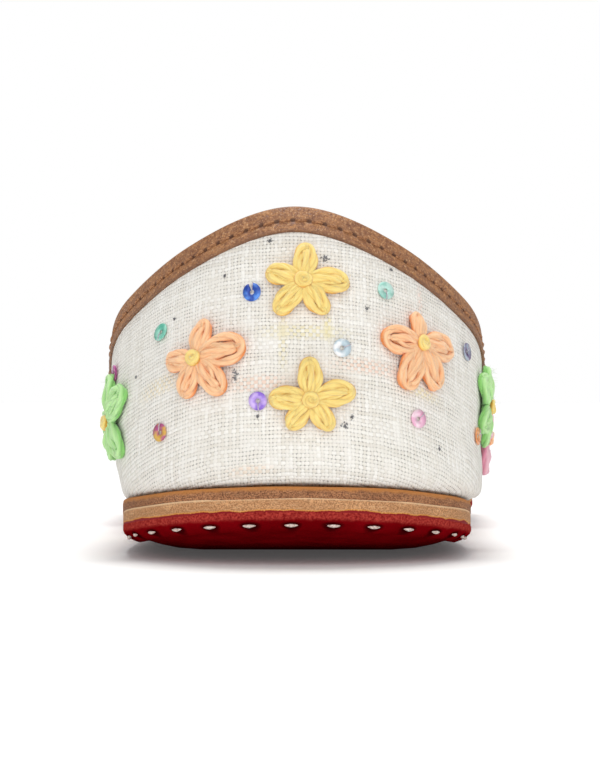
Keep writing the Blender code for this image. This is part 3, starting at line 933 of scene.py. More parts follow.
# Each layer reaches a little into the next one, so that no gap shows between them
plate("outsole_leather", base=0.0, top=OUTSOLE_TOP + 0.35 * MM, inset=0.0, edge_round=0.1 * MM,
      foot_round=(3.0 * MM, 1.2 * MM), uneven=0.0, phase=0.3, material=finish_outsole(), slot="red_leather")
plate("midsole_leather", base=1.9 * MM, top=MIDSOLE_TOP + 0.2 * MM, inset=0.03 * MM, edge_round=0.10 * MM,
      foot_round=(0.05 * MM, 0.05 * MM), uneven=0.10 * MM, phase=1.7, material=finish_midsole(),
      slot="tan_leather")
plate("rand_layer_leather", base=4.2 * MM, top=RAND_TOP, inset=0.05 * MM, edge_round=0.35 * MM,
      foot_round=(0.12 * MM, 0.12 * MM), uneven=0.10 * MM, phase=4.1, material=finish_rand(),
      slot="rand_leather")

# %% [markdown]
# ## The insole
# A thin sock of tan lining leather, glued over the sole inside. It is the same kind of skin as the
# layers below it, a little smaller all round, with a soft rounded edge.

# %% Sock leather and the insole
def smooth_hide(name, base, dark, grain_mm, roughness):
    """Grain leather: a fine pebble of creases between raised cells."""
    material, tree, shader = new_material(name)
    body = on_body(tree)
    links = {"Vector": body, "Scale": 1000 / grain_mm}
    cells = add(tree, "TexVoronoi", links, feature="DISTANCE_TO_EDGE").outputs[0]
    pebble = ramp(tree, cells, 0.0, 0.28)
    fine = noise(tree, body, 1500.0, 3.0, 0.65)
    clouds = noise(tree, body, 130.0, 3.0, 0.6)
    colour = mixed(tree, ramp(tree, fine, 0.32, 0.68), dark, base)
    colour = mixed(tree, ramp(tree, clouds, 0.35, 0.7, 0.0, 0.4), colour, dark)
    colour = mixed(tree, ramp(tree, pebble, 1.0, 0.0, 0.0, 0.45), colour, dark)
    matt = ramp(tree, fine, 0.3, 0.7, roughness - 0.08, roughness + 0.10)
    tree.links.new(matt, shader.inputs["Roughness"])
    raise_surface(tree, shader, scaled(tree, fine, 0.5, pebble), 0.07 * MM, 0.7)
    return material, tree, shader, colour


def finish_sock():
    """Tan lining leather, plain finished."""
    material, tree, shader, colour = smooth_hide("tan_sheep_lining_leather", "C79C71", "A97E55", 0.9, 0.55)
    paint(tree, shader, colour)
    return material


plate("insole_leather", base=UPPER_SEAT - 0.4 * MM, top=UPPER_SEAT + 2.0 * MM, inset=2.9 * MM,
      edge_round=0.7 * MM, foot_round=(0.3 * MM, 0.3 * MM), uneven=0.0, phase=0.0, material=finish_sock(),
      slot="sock_leather")

# %% [markdown]
# ## The binding
# A strip of brown goat leather is folded over the top edge and sewn through with one row of stitches.
# The thread has sunk into a groove, and each hole is a dent 2.65 mm from the next, with painted shade in it.
# The strip is a closed fold in section, and the groove and the holes are pressed into its outer face.

# %% The binding's measure
TOP_MARKS = np.linspace(0.0, 2.0, 2401)
TOP_EDGE = wall(TOP_MARKS, 1.0, 0.0)
TOP_LENGTH = length_along(TOP_EDGE)
STITCH_WANTED = 2.65 * MM
STITCH_COUNT = round(TOP_LENGTH[-1] / STITCH_WANTED)
STITCH_STEP = TOP_LENGTH[-1] / STITCH_COUNT
# A hole lies this far beside the heel's middle, and the others at even steps from it
FIRST_HOLE = -0.35 * MM
ROW_BELOW_EDGE = 2.55 * MM
BINDING_EDGE = 4.65 * MM
# The strip's flat measure starts this far above the wall's top edge, in millimetres
FLAT_START = 0.9
print("collar", round(TOP_LENGTH[-1] / MM), "mm round,", STITCH_COUNT, "stitches")


def finish_binding():
    """Brown goat leather: satin and fine grained, warmer on the face, with painted shade towards the fold.
    """
    material, tree, shader, colour = smooth_hide("brown_goat_leather", "BF895B", "7F533A", 0.55, 0.50)
    along_mm, down_mm, flat = flat_parts(tree)
    streaks = noise(tree, stretched(tree, flat, 0.25, 1.4), 1.0, 4.0, 0.65)
    colour = mixed(tree, ramp(tree, streaks, 0.45, 0.7, 0.0, 0.5), colour, "C58B55")
    specks = noise(tree, on_body(tree), 2700.0, 2.0, 0.7)
    colour = mixed(tree, ramp(tree, specks, 0.56, 0.70, 0.0, 0.6), colour, "DDB488")
    colour = mixed(tree, ramp(tree, specks, 0.44, 0.30, 0.0, 0.5), colour, "5F3B27")
    # Painted shade along the lower edge, where the strip turns under into its fold
    colour = mixed(tree, times(tree, ramp(tree, down_mm, 5.0, 5.6), 0.6), colour, "5E3A22")
    # Painted shade in the stitch holes, at each stitch end along the row
    number = scaled(tree, along_mm, MM / STITCH_STEP, 0.5 - FIRST_HOLE / STITCH_STEP)
    away = math_of(tree, "ABSOLUTE", math_of(tree, "SUBTRACT", math_of(tree, "FRACT", number), 0.5))
    hole_u = times(tree, away, STITCH_STEP / MM / 0.52)
    below = math_of(tree, "SUBTRACT", down_mm, ROW_BELOW_EDGE / MM + FLAT_START)
    hole_v = math_of(tree, "DIVIDE", below, 0.40)
    spot = math_of(tree, "ADD", math_of(tree, "POWER", hole_u, 2.0), times(tree, hole_v, hole_v))
    paint(tree, shader, mixed(tree, ramp(tree, spot, 1.6, 0.30, 0.0, 0.85), colour, "4E2A16"))
    return material


def dents(travel, below):
    """Depth of the stitch groove and its holes, at a length round the collar and below the edge."""
    phase = np.mod((travel - FIRST_HOLE) / STITCH_STEP + 0.5, 1.0) - 0.5
    off = (below - ROW_BELOW_EDGE) / MM
    groove = 0.18 * MM * np.exp(-((off / 0.55) ** 2))
    holes = 0.24 * MM * np.exp(-((phase * STITCH_STEP / MM / 0.42) ** 2) - (off / 0.34) ** 2)
    return groove + holes


PROUD = 0.5 * MM
INSIDE = WALL + PROUD
HALF_FOLD = WALL / 2 + PROUD
# Each row of the fold: how far below the wall's top edge, and how deep in the wall
FOLD = [(BINDING_EDGE, 0.0), (BINDING_EDGE, -PROUD * 0.75), (BINDING_EDGE - 0.12 * MM, -PROUD)]
OUTER_ROWS = (4.3, 3.9, 3.5, 3.2, 3.0, 2.8, 2.65, 2.5, 2.35, 2.15, 1.9, 1.6, 1.2, 0.7, 0.2)
FOLD += [(below * MM, -PROUD) for below in OUTER_ROWS]
for t in np.linspace(0.25, math.pi - 0.25, 9):
    FOLD.append((0.2 * MM - 0.70 * MM * math.sin(t), WALL / 2 - HALF_FOLD * math.cos(t)))
FOLD += [(below * MM, INSIDE) for below in (0.2, 1.5, 3.0, 4.6)]
FOLD += [(BINDING_WIDTH, WALL + PROUD * 0.7), (BINDING_WIDTH, WALL + 0.05 * MM)]
FOLD += [(BINDING_WIDTH - 0.5 * MM, WALL - 0.3 * MM), (2.0 * MM, WALL - 0.3 * MM)]
FOLD += [(0.2 * MM, WALL - 0.5 * MM), (0.2 * MM, 0.5 * MM), (2.0 * MM, 0.3 * MM)]
FOLD += [(BINDING_EDGE - 0.5 * MM, 0.3 * MM), (BINDING_EDGE, 0.0)]
FOLD = np.array(FOLD)


def on_binding(travel, below, depth):
    """A place by its length round the collar, its distance below the wall's top edge and its depth."""
    around = np.interp(np.mod(travel, TOP_LENGTH[-1] + 1e-9), TOP_LENGTH, TOP_MARKS)
    rising = np.linalg.norm(wall_slopes(around, np.ones_like(around))[1], axis=-1)
    return wall(around, 1 - below / rising, depth)


def binding_place(step, row):
    """The fold's places, with the stitch groove and holes pressed in."""
    below, depth = table_row(FOLD, row)
    outer = depth <= -PROUD + 1e-9
    travel = step * TOP_LENGTH[-1]
    return on_binding(travel, below, depth + np.where(outer, dents(travel, below), 0.0))


def binding_flat(step, row):
    """The strip's flat measure: round the collar, and down from its start on the outer face."""
    return step * TOP_LENGTH[-1] / MM, table_row(FOLD, row)[0] / MM + FLAT_START


binding = skin("topline_binding_leather", STITCH_COUNT * 8, len(FOLD) - 1, binding_place, binding_flat)
show("topline_binding_leather", binding, finish_binding(), "brown_leather", "topline_binding")

# %% [markdown]
# ## Strands
# Yarn, stitches and loose fibres are all strands: a line that runs over the cloth, as one round tube or, for
# yarn, a few round plies twisted along it. Hundreds of them are needed, so they are made together. Every
# strand starts as the same small grid, which is rolled up into a tube by putting its corners in rings along
# the line.

# %% Bundles of strands
def bundle(name, rings, along, painted_ply_shade=None, kinds=None):
    """Many like grids in one mesh. rings holds a place for each grid, step and row."""
    count, steps, rows = rings.shape[:3]
    mesh, shares = grids(name, count, steps - 1, rows - 1)
    step, row = np.round(shares.T * (steps - 1, rows - 1)).astype(int).T
    which = np.repeat(np.arange(count), steps * rows)
    set_places(mesh, rings[which, step, row])
    lay_flat(mesh, np.stack([along[which, step], row / (rows - 1) + which], axis=1))
    if painted_ply_shade is not None:
        layer = mesh.attributes.new("painted_ply_shade", "FLOAT", "POINT")
        layer.data.foreach_set("value", painted_ply_shade[which, step, row].astype(np.float32))
    if kinds is not None:
        kind = np.repeat(kinds, (steps - 1) * (rows - 1))
        mesh.polygons.foreach_set("material_index", kind.astype(np.int32))
    return close_up(mesh, 1e-7)


def travel_along(lines):
    """Length run along each line up to each of its points, in millimetres."""
    steps = np.linalg.norm(np.diff(lines, axis=1), axis=-1)
    return np.concatenate([np.zeros((len(lines), 1)), np.cumsum(steps, axis=1)], axis=1) / MM


def frames(lines, start):
    """Two directions across each line, carried along it without a twist."""
    ahead = unit(np.gradient(lines, axis=1))
    normal = np.broadcast_to(start, lines[:, 0].shape)
    normals = []
    for i in range(lines.shape[1]):
        normal = normal - (normal * ahead[:, i]).sum(-1, keepdims=True) * ahead[:, i]
        normal = unit(normal + 1e-9)
        normals.append(normal)
    normals = np.stack(normals, axis=1)
    return normals, np.cross(ahead, normals)


def closing(steps, blunt):
    """1 along a strand, falling to 0 at both ends over this share of it."""
    share = np.linspace(0, 1, steps)
    return np.sqrt(np.clip(np.minimum(share, 1 - share) / blunt, 0, 1))


def tubes(lines, start, radius, sides, blunt=0.06):
    """Rings round each line, closed to a point at both ends."""
    normals, across = (way[:, :, None] for way in frames(lines, start))
    size = (radius * closing(lines.shape[1], blunt))[..., :, None, None]
    angle = np.linspace(0, 2 * math.pi, sides + 1)[:, None]
    rings = lines[:, :, None] + size * (np.cos(angle) * normals + np.sin(angle) * across)
    rings[:, :, -1] = rings[:, :, 0]
    return rings


# Plies swell and shrink by this share, once in 2 pi times the lump's length. Their radius, and their
# distance from the yarn's middle, are shares of its thickness
LUMPS = 0.14
LUMP_MM = 0.55
PLY_RADIUS = 0.315
PLY_APART = 0.22
PLY_SIDES = 6


def plied(lines, start, thick, plies, pitch_mm):
    """Twisted plies round each line. Gives their rings, their lengths and how far each corner faces in
    towards the cloth, as a weight for painted shade.
    """
    normals, across = frames(lines, start)
    travel = travel_along(lines)
    rings = []
    lump = 1 + LUMPS * np.sin(travel / LUMP_MM + 40 * lines[:, :1, 0] / MM)
    apart = PLY_APART * thick * closing(lines.shape[1], 0.08)[:, None]
    for ply in range(plies):
        angle = 2 * math.pi * (travel / pitch_mm + ply / plies)[..., None]
        centres = lines + apart * (np.cos(angle) * normals + np.sin(angle) * across)
        rings.append(tubes(centres, start, PLY_RADIUS * thick * lump, PLY_SIDES))
    rings = np.concatenate(rings)
    away = unit(rings - np.concatenate([lines] * plies)[:, :, None] + 1e-9)
    painted_ply_shade = 0.5 - 0.5 * (away * start).sum(-1)
    return rings, np.concatenate([travel] * plies), painted_ply_shade


# %% [markdown]
# ## Yarn flowers
# Each flower is five detached loops of thick soft acrylic yarn, tied down at the tips, with filling
# strands laid on top and a knot at the centre. The petals are fat and uneven, because they are worked by
# hand. Every loop is a line on the flat of the cloth, lifted by its own thickness and laid on the wall.

# %% Where the flowers sit
# Each: node, colour, around, up and radius as shares of the free wall, turn in degrees
FLOWERS = [
    ("flower_back_high", "yellow", 0.005, 0.790, 0.170, 0),
    ("flower_back_low", "yellow", 0.010, 0.350, 0.172, 0),
    ("flower_heel_left", "orange", 1.938, 0.590, 0.194, 8),
    ("flower_heel_right", "orange", 0.077, 0.690, 0.200, -6),
    ("flower_quarter_left", "green", 1.858, 0.510, 0.305, 0),
    ("flower_quarter_right", "green", 0.160, 0.675, 0.300, 10),
    ("flower_waist_left", "yellow", 1.655, 0.500, 0.410, 12),
    ("flower_waist_right", "pink", 0.246, 0.640, 0.370, -8),
    ("flower_joint_left", "orange", 1.550, 0.500, 0.430, 0),
    ("flower_joint_right", "orange", 0.430, 0.500, 0.420, 14),
    ("flower_ball_left", "pink", 1.425, 0.400, 0.330, -10),
    ("flower_ball_right", "pink", 0.545, 0.380, 0.360, 4),
    ("flower_vamp_left", "green", 1.345, 0.720, 0.190, 16),
    ("flower_vamp_right", "green", 0.650, 0.740, 0.195, -12),
    ("flower_toe_left", "yellow", 1.260, 0.380, 0.135, 0),
    ("flower_toe_right", "yellow", 0.745, 0.380, 0.135, 20),
    ("flower_throat", "orange", 1.000, 0.780, 0.078, 0),
    ("flower_tip_left", "orange", 1.140, 0.530, 0.086, -14),
    ("flower_tip_right", "pink", 0.862, 0.530, 0.086, 10),
    ("flower_tip", "green", 1.000, 0.350, 0.078, 180),
]
# The centre and the petal tips of the four that the photograph shows whole, in pixels
SEEN_FLOWERS = {
    "flower_back_high": ((303, 280), (307, 241), (350, 278), (326, 313), (275, 312), (264, 268)),
    "flower_back_low": ((310, 400), (310, 357), (355, 387), (332, 431), (287, 430), (267, 395)),
    "flower_heel_left": ((195, 358), (204, 319), (246, 344), (224, 392), (181, 399), (163, 363)),
    "flower_heel_right": ((421, 343), (417, 311), (453, 349), (441, 392), (404, 388), (381, 337)),
}
YARN = 1.55 * MM
YARN_STEPS = 37
# The plies turn once in this length of a full yarn
YARN_PITCH_MM = 12.0
PETAL_PROUD = 1.3 * MM
# Worked yarn is pressed flat: its heights are brought down to this share, over a small base
PRESSED = 0.78
PRESSED_BASE = 0.2 * MM


def free_wall(around):
    """Length of the rib between the sole and the binding, in metres."""
    edge = below_edge(np.array([around]), BINDING_WIDTH)
    return rib_travel(np.array([around]), edge)[0] * MM


def laid_on(middle, heights, points):
    """Lines given in metres across, up and off the cloth, laid on the wall round a middle."""
    around, up = beside(*middle, points[..., 0], points[..., 1])
    return cloth(around, up, -heights)


def petal_tips(name, middle, radius, turn):
    """Where each petal of a flower points, in metres across and up from its middle."""
    if name in SEEN_FLOWERS:
        spots = [seen_at(*pixel, PETAL_PROUD) for pixel in SEEN_FLOWERS[name]]
        places = np.array([wall(np.array([a]), np.array([u]), 0.0)[0] for a, u in spots])
        return spots[0], (places[1:] - places[0]) @ np.stack(wall_axes(*spots[0])[2:4], axis=1)
    number = sum(map(ord, name))
    tips = []
    for petal in range(5):
        angle = math.radians(turn + 72 * petal + 7 * math.sin(number + 2.1 * petal))
        reach = radius * (0.99 + 0.05 * math.sin(1.7 * number + 1.3 * petal))
        tips.append((reach * math.sin(angle), reach * math.cos(angle)))
    return middle, np.array(tips)


# %% Petals, ties and knots
def petal_axes(tip):
    """A petal's length, the way that it points, and the way across it."""
    reach = np.linalg.norm(tip)
    axis = tip / reach
    return reach, axis, np.array([axis[1], -axis[0]])


def petal_loop(tip, half_width, start, shy):
    """A teardrop loop towards a tip, this wide, starting this far out and ending shy of it."""
    reach, axis, side_way = petal_axes(tip)
    turn = np.linspace(0, 2 * math.pi, YARN_STEPS)
    open_share = (1 - np.cos(turn)) / 2
    out_by = start + (reach - shy - start) * open_share
    width = open_share**0.7 * (1 - open_share) ** 0.48 / 0.445
    across = half_width * np.sign(np.sin(turn)) * width
    points = out_by[:, None] * axis + across[:, None] * side_way
    heights = YARN * 0.52 + 0.35 * MM * np.sin(math.pi * open_share) - 0.15 * MM * open_share**6
    return points, heights


def straight_strand(tip, start, end, bow, low, high):
    """A strand along a petal from one share of its length to another, bowed sideways and lifted."""
    reach, axis, side_way = petal_axes(tip)
    share = np.linspace(0, 1, YARN_STEPS)
    out_by = reach * (start + (end - start) * share)
    points = out_by[:, None] * axis + (bow * np.sin(math.pi * share))[:, None] * side_way
    return points, low + (high - low) * np.sin(math.pi * share) ** 0.7


def knot_line(size, low, high):
    """A small coil that turns once and a third, and ends down in its middle."""
    share = np.linspace(0, 1, YARN_STEPS)
    turn = 2 * math.pi * 1.35 * share
    reach = size * (1 - 0.75 * eased(share_between(share, 0.78, 1.0)))
    points = np.stack([reach * np.cos(turn), reach * np.sin(turn)], axis=1)
    return points, low + (high - low) * np.sin(math.pi * np.clip(share * 1.1, 0, 1)) ** 0.6


def flower_strands(tips):
    """Every strand of a flower: its thickness, kind, points and heights."""
    strands = []
    for number, tip in enumerate(tips):
        reach = np.linalg.norm(tip)
        half = 0.30 * reach - YARN * 0.5
        width, shy = half, YARN * 0.5
        while width > 0.3 * MM:
            strands.append((YARN, 0, *petal_loop(tip, width, 0.10 * reach, shy)))
            width -= 0.92 * YARN
            shy += 0.85 * YARN
        lift = YARN * 1.12
        bow = 0.25 * MM * math.sin(3.0 * number + reach / MM)
        strands.append((YARN * 0.90, 0, *straight_strand(tip, 0.06, 0.81, bow, YARN * 0.45, lift)))
        for side in (-1, 1):
            beside_it = straight_strand(tip, 0.08, 0.74, side * 0.50 * half, YARN * 0.40, YARN * 0.88)
            strands.append((YARN * 0.74, 0, *beside_it))
        strands.append((YARN * 0.45, 0, *straight_strand(tip, 0.77, 0.955, 0.0, 0.4 * MM, YARN * 1.00)))
    strands.append((1.30 * MM, 1, *knot_line(0.80 * MM, YARN * 1.0, YARN * 1.45)))
    strands.append((1.15 * MM, 1, *knot_line(0.25 * MM, YARN * 1.0, YARN * 1.42)))
    return strands


# %% Acrylic yarn
# Each: the yarn's colour, and the deeper colour of its painted shade, fibres and clouds
YARN_COLOURS = {
    "yellow": ("FCE796", "EBAA3C"),
    "orange": ("FFD4A8", "F0904F"),
    "green": ("C6F0AC", "8ACB70"),
    "pink": ("FBCFDA", "EA9AB2"),
}


def finish_yarn(name):
    """Soft acrylic yarn: matt, with fine fibres along each ply and painted shade on the sides of the plies
    that face the cloth.
    """
    light, dark = YARN_COLOURS[name]
    material, tree, shader = new_material(
        "acrylic_yarn_" + name, Roughness=0.85, Specular_IOR_Level=0.2, Sheen_Weight=0.35,
        Sheen_Roughness=0.5, Subsurface_Weight=0.15, Subsurface_Radius=(1.0, 0.7, 0.5),
        Subsurface_Scale=0.6 * MM)
    painted_ply_shade = add(tree, "Attribute", attribute_name="painted_ply_shade").outputs["Fac"]
    flat = flat_parts(tree)[2]
    fibres = noise(tree, stretched(tree, flat, 0.55, 9.0), 1.0, 3.0, 0.65)
    clouds = noise(tree, stretched(tree, flat, 0.22, 0.7), 1.0)
    # Painted shade on the sides facing the cloth, with fibres and clouds of tone on top
    shade = ramp(tree, painted_ply_shade, 0.15, 0.70, 0.0, 0.85)
    shade = scaled(tree, ramp(tree, fibres, 0.3, 0.7), 0.30, shade)
    shade = scaled(tree, ramp(tree, clouds, 0.35, 0.7), 0.18, shade)
    paint(tree, shader, mixed(tree, shade, light, dark))
    raise_surface(tree, shader, fibres, 0.16 * MM, 0.9)
    return material


YARNS = {name: finish_yarn(name) for name in YARN_COLOURS}

# %% The flowers
def make_flower(name, colour, around, up, radius, turn):
    """One flower, made of plied strands laid on the wall. Gives what its loose fibres start from."""
    height = up * below_edge(np.array([around]), BINDING_WIDTH)[0]
    middle, tips = petal_tips(name, (around, height), radius * free_wall(around), turn)
    normal = wall_axes(*middle)[4]
    groups, kinds = [], []
    for thick, kind, points, heights in flower_strands(tips):
        line = laid_on(middle, PRESSED_BASE + PRESSED * heights, points)[None]
        plies = 3 if thick > 1.2 * MM else 2
        groups.append(plied(line, normal, thick, plies, YARN_PITCH_MM * thick / YARN))
        kinds += [kind] * plies
    rings, along, painted_ply_shade = (np.concatenate(parts) for parts in zip(*groups))
    mesh = bundle(name + "_yarn", rings, along, painted_ply_shade, np.array(kinds))
    knot = YARNS["orange" if colour == "pink" else "yellow"]
    show(name + "_yarn", mesh, [YARNS[colour], knot], "yarn_" + colour, name)
    return colour, rings, normal


made_flowers = [make_flower(*flower) for flower in FLOWERS]

# %% [markdown]
# ## Loose fibres
# Acrylic yarn is a little hairy. A few short curved fibres stand out of every ply, and they soften the
# outline of each flower as they do in the photograph.

# %% Fibres
FIBRES_A_FLOWER = 200
FIBRE_STEPS = 4
FIBRE_RADIUS = 0.022 * MM
random = np.random.default_rng(7)


def fibres_of(rings, normal):
    """Short curved lines that start on a flower's plies."""
    strand = random.integers(0, rings.shape[0], FIBRES_A_FLOWER)
    step = random.integers(3, rings.shape[1] - 3, FIBRES_A_FLOWER)
    row = random.integers(0, rings.shape[2] - 1, FIBRES_A_FLOWER)
    start = rings[strand, step, row]
    centre = rings[strand, step].mean(axis=1)
    away = unit(start - centre + normal * 0.25 * MM)
    drift = unit(random.normal(size=(FIBRES_A_FLOWER, 3)))
    length = random.uniform(0.5, 1.2, FIBRES_A_FLOWER)[:, None] * MM
    share = np.linspace(0, 1, FIBRE_STEPS)[None, :, None]
    curve = away[:, None] * share * 0.8 + drift[:, None] * share**2 * 0.7
    return start[:, None] + length[:, None] * curve


for colour in YARN_COLOURS:
    of_colour = [(rings, normal) for own, rings, normal in made_flowers if own == colour]
    lines = np.concatenate([fibres_of(rings, normal) for rings, normal in of_colour])
    rings = tubes(lines, np.array([0.3, 0.2, 0.9]), FIBRE_RADIUS, 3)
    mesh = bundle("loose_fibres_" + colour, rings, travel_along(lines), np.zeros(rings.shape[:3]))
    show("loose_fibres_" + colour, mesh, YARNS[colour], "yarn_" + colour)

# %% [markdown]
# ## Stitches
# Three rows of stitches: brown thread sunk in the binding's groove, cream thread on the side seam's lap,
# and the white waxed thread of the sole, which shows beneath as short flat stitches in small pits.

# %% Threads of the three rows
# Radius of each thread
BINDING_THREAD = 0.30 * MM
SEAM_THREAD = 0.17 * MM
SOLE_THREAD = 0.36 * MM
SEQUIN_THREAD = 0.09 * MM
LINT_THREAD = 0.12 * MM


def finish_thread(name, light, dark):
    """Twisted thread: matt, with stretched streaks of painted shade, as where its plies meet."""
    material, tree, shader = new_material(name, Roughness=0.7, Specular_IOR_Level=0.3)
    twist = noise(tree, stretched(tree, flat_parts(tree)[2], 2.5, 6.0), 1.0, 3.0, 0.6)
    paint(tree, shader, mixed(tree, ramp(tree, twist, 0.35, 0.65), dark, light))
    raise_surface(tree, shader, twist, 0.06 * MM, 0.8)
    return material


def show_strands(name, lines, start, radius, sides, material, slot, *nodes, blunt=0.06):
    """Round strands along lines, as one piece. A large blunt tapers them from the middle."""
    rings = tubes(lines, start, radius, sides, blunt)
    show(name, bundle(name, rings, travel_along(lines)), material, slot, *nodes)


share = np.linspace(0.0, 1.0, 9)
arch = np.sin(math.pi * share) ** 0.5
# A stitch fills the middle three quarters of its step
STITCH_START = 0.12
STITCH_SHARE = 0.76
steps_round = np.arange(STITCH_COUNT)[:, None] + STITCH_START + STITCH_SHARE * share
travel = steps_round * STITCH_STEP + FIRST_HOLE
below = ROW_BELOW_EDGE + 0.10 * MM * np.cos(math.pi * share) + 0 * travel
depth = -PROUD + 0.42 * MM - 0.34 * MM * arch + 0 * travel
lines = on_binding(travel, below, depth)
show_strands("binding_stitches", lines, UPWARD, BINDING_THREAD, 6,
             finish_thread("brown_linen_thread", "B38159", "7C5136"), "brown_leather", "topline_binding")

# %% The side seams
seam_lines = []
for side in (-1, 1):
    for place in np.linspace(0.07, 0.83, 8):
        up = place + 0.065 * share
        around = np.full_like(up, side * (SEAM - 0.010))
        seam_lines.append(cloth(around, up, quarter_rise(around) + 0.18 * MM - 0.32 * MM * arch))
show_strands("seam_stitches", np.array(seam_lines), np.array([0.0, 1.0, 0.0]), SEAM_THREAD, 6,
             finish_thread("cream_cotton_thread", "EFE9DA", "CFC6B2"), "cotton", "upper")

# %% The sole's stitches
ROUND_LENGTH = np.r_[FOOT_LENGTH, 2 * FOOT_LENGTH[-1] - FOOT_LENGTH[-2::-1]]
ROUND_MARKS = np.r_[FOOT_MARKS, 2 - FOOT_MARKS[-2::-1]]
middles = np.arange(SOLE_STITCHES)[:, None] * SOLE_STITCH_STEP + SOLE_STITCH_START
travel = np.mod(middles + (share - 0.5) * SOLE_STITCH_LONG, ROUND_LENGTH[-1])
proud = 0.34 * MM * (arch - 1.0) + 0.02 * MM
around = np.interp(travel, ROUND_LENGTH, ROUND_MARKS)
lines = on_sole(around, SOLE_ROW_INSET - 0.5 * proud, SOLE_ROW_LEVEL - 0.85 * proud)
show_strands("sole_stitches", lines, UPWARD, SOLE_THREAD, 8,
             finish_thread("white_waxed_thread", "EFE0D7", "BBA095"), "red_leather", "outsole", blunt=0.5)

# %% [markdown]
# ## Sequins
# Shiny sequins are sewn between the flowers, each with one stitch from its hole over its rim. Every one
# is a ring of real thickness, dished a little and never quite level with the cloth.

# %% Where the sequins lie
# In the photograph: tint, pixel, the way its stitch runs in degrees from upright, whether it is split
SEEN_SEQUINS = [
    ("blue", (252, 292), 15, True),
    ("pale_mint", (385.5, 291), 170, False),
    ("mint", (161, 332), 200, False),
    ("clear", (342, 347.5), 60, False),
    ("violet", (258, 401), 180, False),
    ("gold", (160, 432), 20, False),
    ("pink", (417.6, 418.5), 40, False),
    ("lilac", (466.6, 352), 10, False),
    ("magenta", (114.6, 374), 0, False),
    ("orange", (476, 436), 30, False),
]
# On the hidden sides: tint, around, share of the free wall, the way of its stitch
OTHER_SEQUINS = [
    ("clear", 0.335, 0.78, 200), ("violet", 0.345, 0.22, 10), ("pink", 0.485, 0.80, 150),
    ("gold", 0.490, 0.18, 90), ("blue", 0.600, 0.28, 20), ("clear", 0.600, 0.60, 300),
    ("magenta", 0.700, 0.60, 70), ("mint", 0.800, 0.64, 220), ("violet", 0.805, 0.24, 120),
    ("orange", 0.930, 0.60, 10), ("blue", 0.930, 0.24, 160), ("pink", 1.070, 0.62, 30),
    ("gold", 1.070, 0.26, 250), ("clear", 1.190, 0.66, 80), ("mint", 1.195, 0.24, 0),
    ("violet", 1.300, 0.56, 200), ("orange", 1.390, 0.74, 60), ("blue", 1.345, 0.24, 330),
    ("pink", 1.487, 0.72, 20), ("magenta", 1.487, 0.18, 190), ("mint", 1.605, 0.80, 100),
    ("gold", 1.605, 0.20, 45), ("clear", 1.745, 0.72, 10), ("violet", 1.715, 0.22, 170),
]
SEQUIN_TINTS = {
    "blue": ("5C97F0", "1D46A8"),
    "mint": ("9FDDC9", "62BFA6"),
    "pale_mint": ("CFEFE6", "93CDBE"),
    "clear": ("F4F6F8", "BCD0DA"),
    "violet": ("D3B8F6", "8D68D6"),
    "gold": ("DDB04C", "B2488A"),
    "pink": ("FCE0EC", "F2B4D2"),
    "lilac": ("A9B4C4", "6D4E80"),
    "magenta": ("E07ABC", "A22C7C"),
    "orange": ("F8C08A", "E8904E"),
}
SEQUIN = 1.55 * MM
SEQUIN_HOLE = 0.40 * MM
SEQUIN_THICK = 0.12 * MM
SEQUIN_STEPS = 29
SEQUIN_PROUD = 0.30 * MM


def spot_on_cloth(around, up, proud):
    """A point this proud of the cloth, with its level, upright and outward directions."""
    return cloth(np.array([around]), np.array([up]), -proud)[0], *wall_axes(around, up)[2:]


def sequin(spot, number, split):
    """One sequin: a dished ring, closed round its own section, with a cut when it is split."""
    centre, level, upright, away = spot
    cut_half = math.radians(13) if split else 0.0
    turn = np.linspace(cut_half, 2 * math.pi - cut_half, SEQUIN_STEPS)[:, None]
    half = np.full((SEQUIN_STEPS, 1), SEQUIN_THICK / 2)
    if split:
        half[[0, -1]] = 0.0
    reach = np.array([SEQUIN, SEQUIN_HOLE, SEQUIN_HOLE, SEQUIN, SEQUIN])
    across, rise = reach * np.sin(turn), reach * np.cos(turn)
    dish = 0.10 * MM * (reach / SEQUIN) ** 2
    tilt = 0.10 * (math.sin(2.3 * number) * across + math.cos(1.7 * number) * rise)
    out = half * (1, 1, -1, -1, 1) + dish + tilt
    return centre + across[..., None] * level + rise[..., None] * upright + out[..., None] * away


def sequin_stitch(spot, degrees):
    """The stitch that holds a sequin, from its hole out over the rim and down to the cloth."""
    centre, level, upright, away = spot
    run = np.linspace(0.0, 1.0, 7)[:, None]
    way = math.sin(math.radians(degrees)) * level + math.cos(math.radians(degrees)) * upright
    height = -0.25 * MM + 0.62 * MM * np.sin(math.pi * np.clip(0.12 + run * 0.80, 0, 1)) ** 0.5
    return centre + way * run * (SEQUIN + 0.30 * MM) + away * height


def finish_sequin(name):
    """Foil-backed plastic: hard and glossy, with patches of a second tint as iridescent foil has."""
    light, dark = SEQUIN_TINTS[name]
    material, tree, shader = new_material(
        name + "_iridescent_sequin", Metallic=0.10, Roughness=0.40, Coat_Weight=0.15)
    body = on_body(tree)
    shift = ramp(tree, noise(tree, body, 620.0), 0.38, 0.62)
    paint(tree, shader, mixed(tree, shift, dark, light))
    raise_surface(tree, shader, noise(tree, body, 900.0, 1.0), 0.015 * MM, 0.6)
    return material


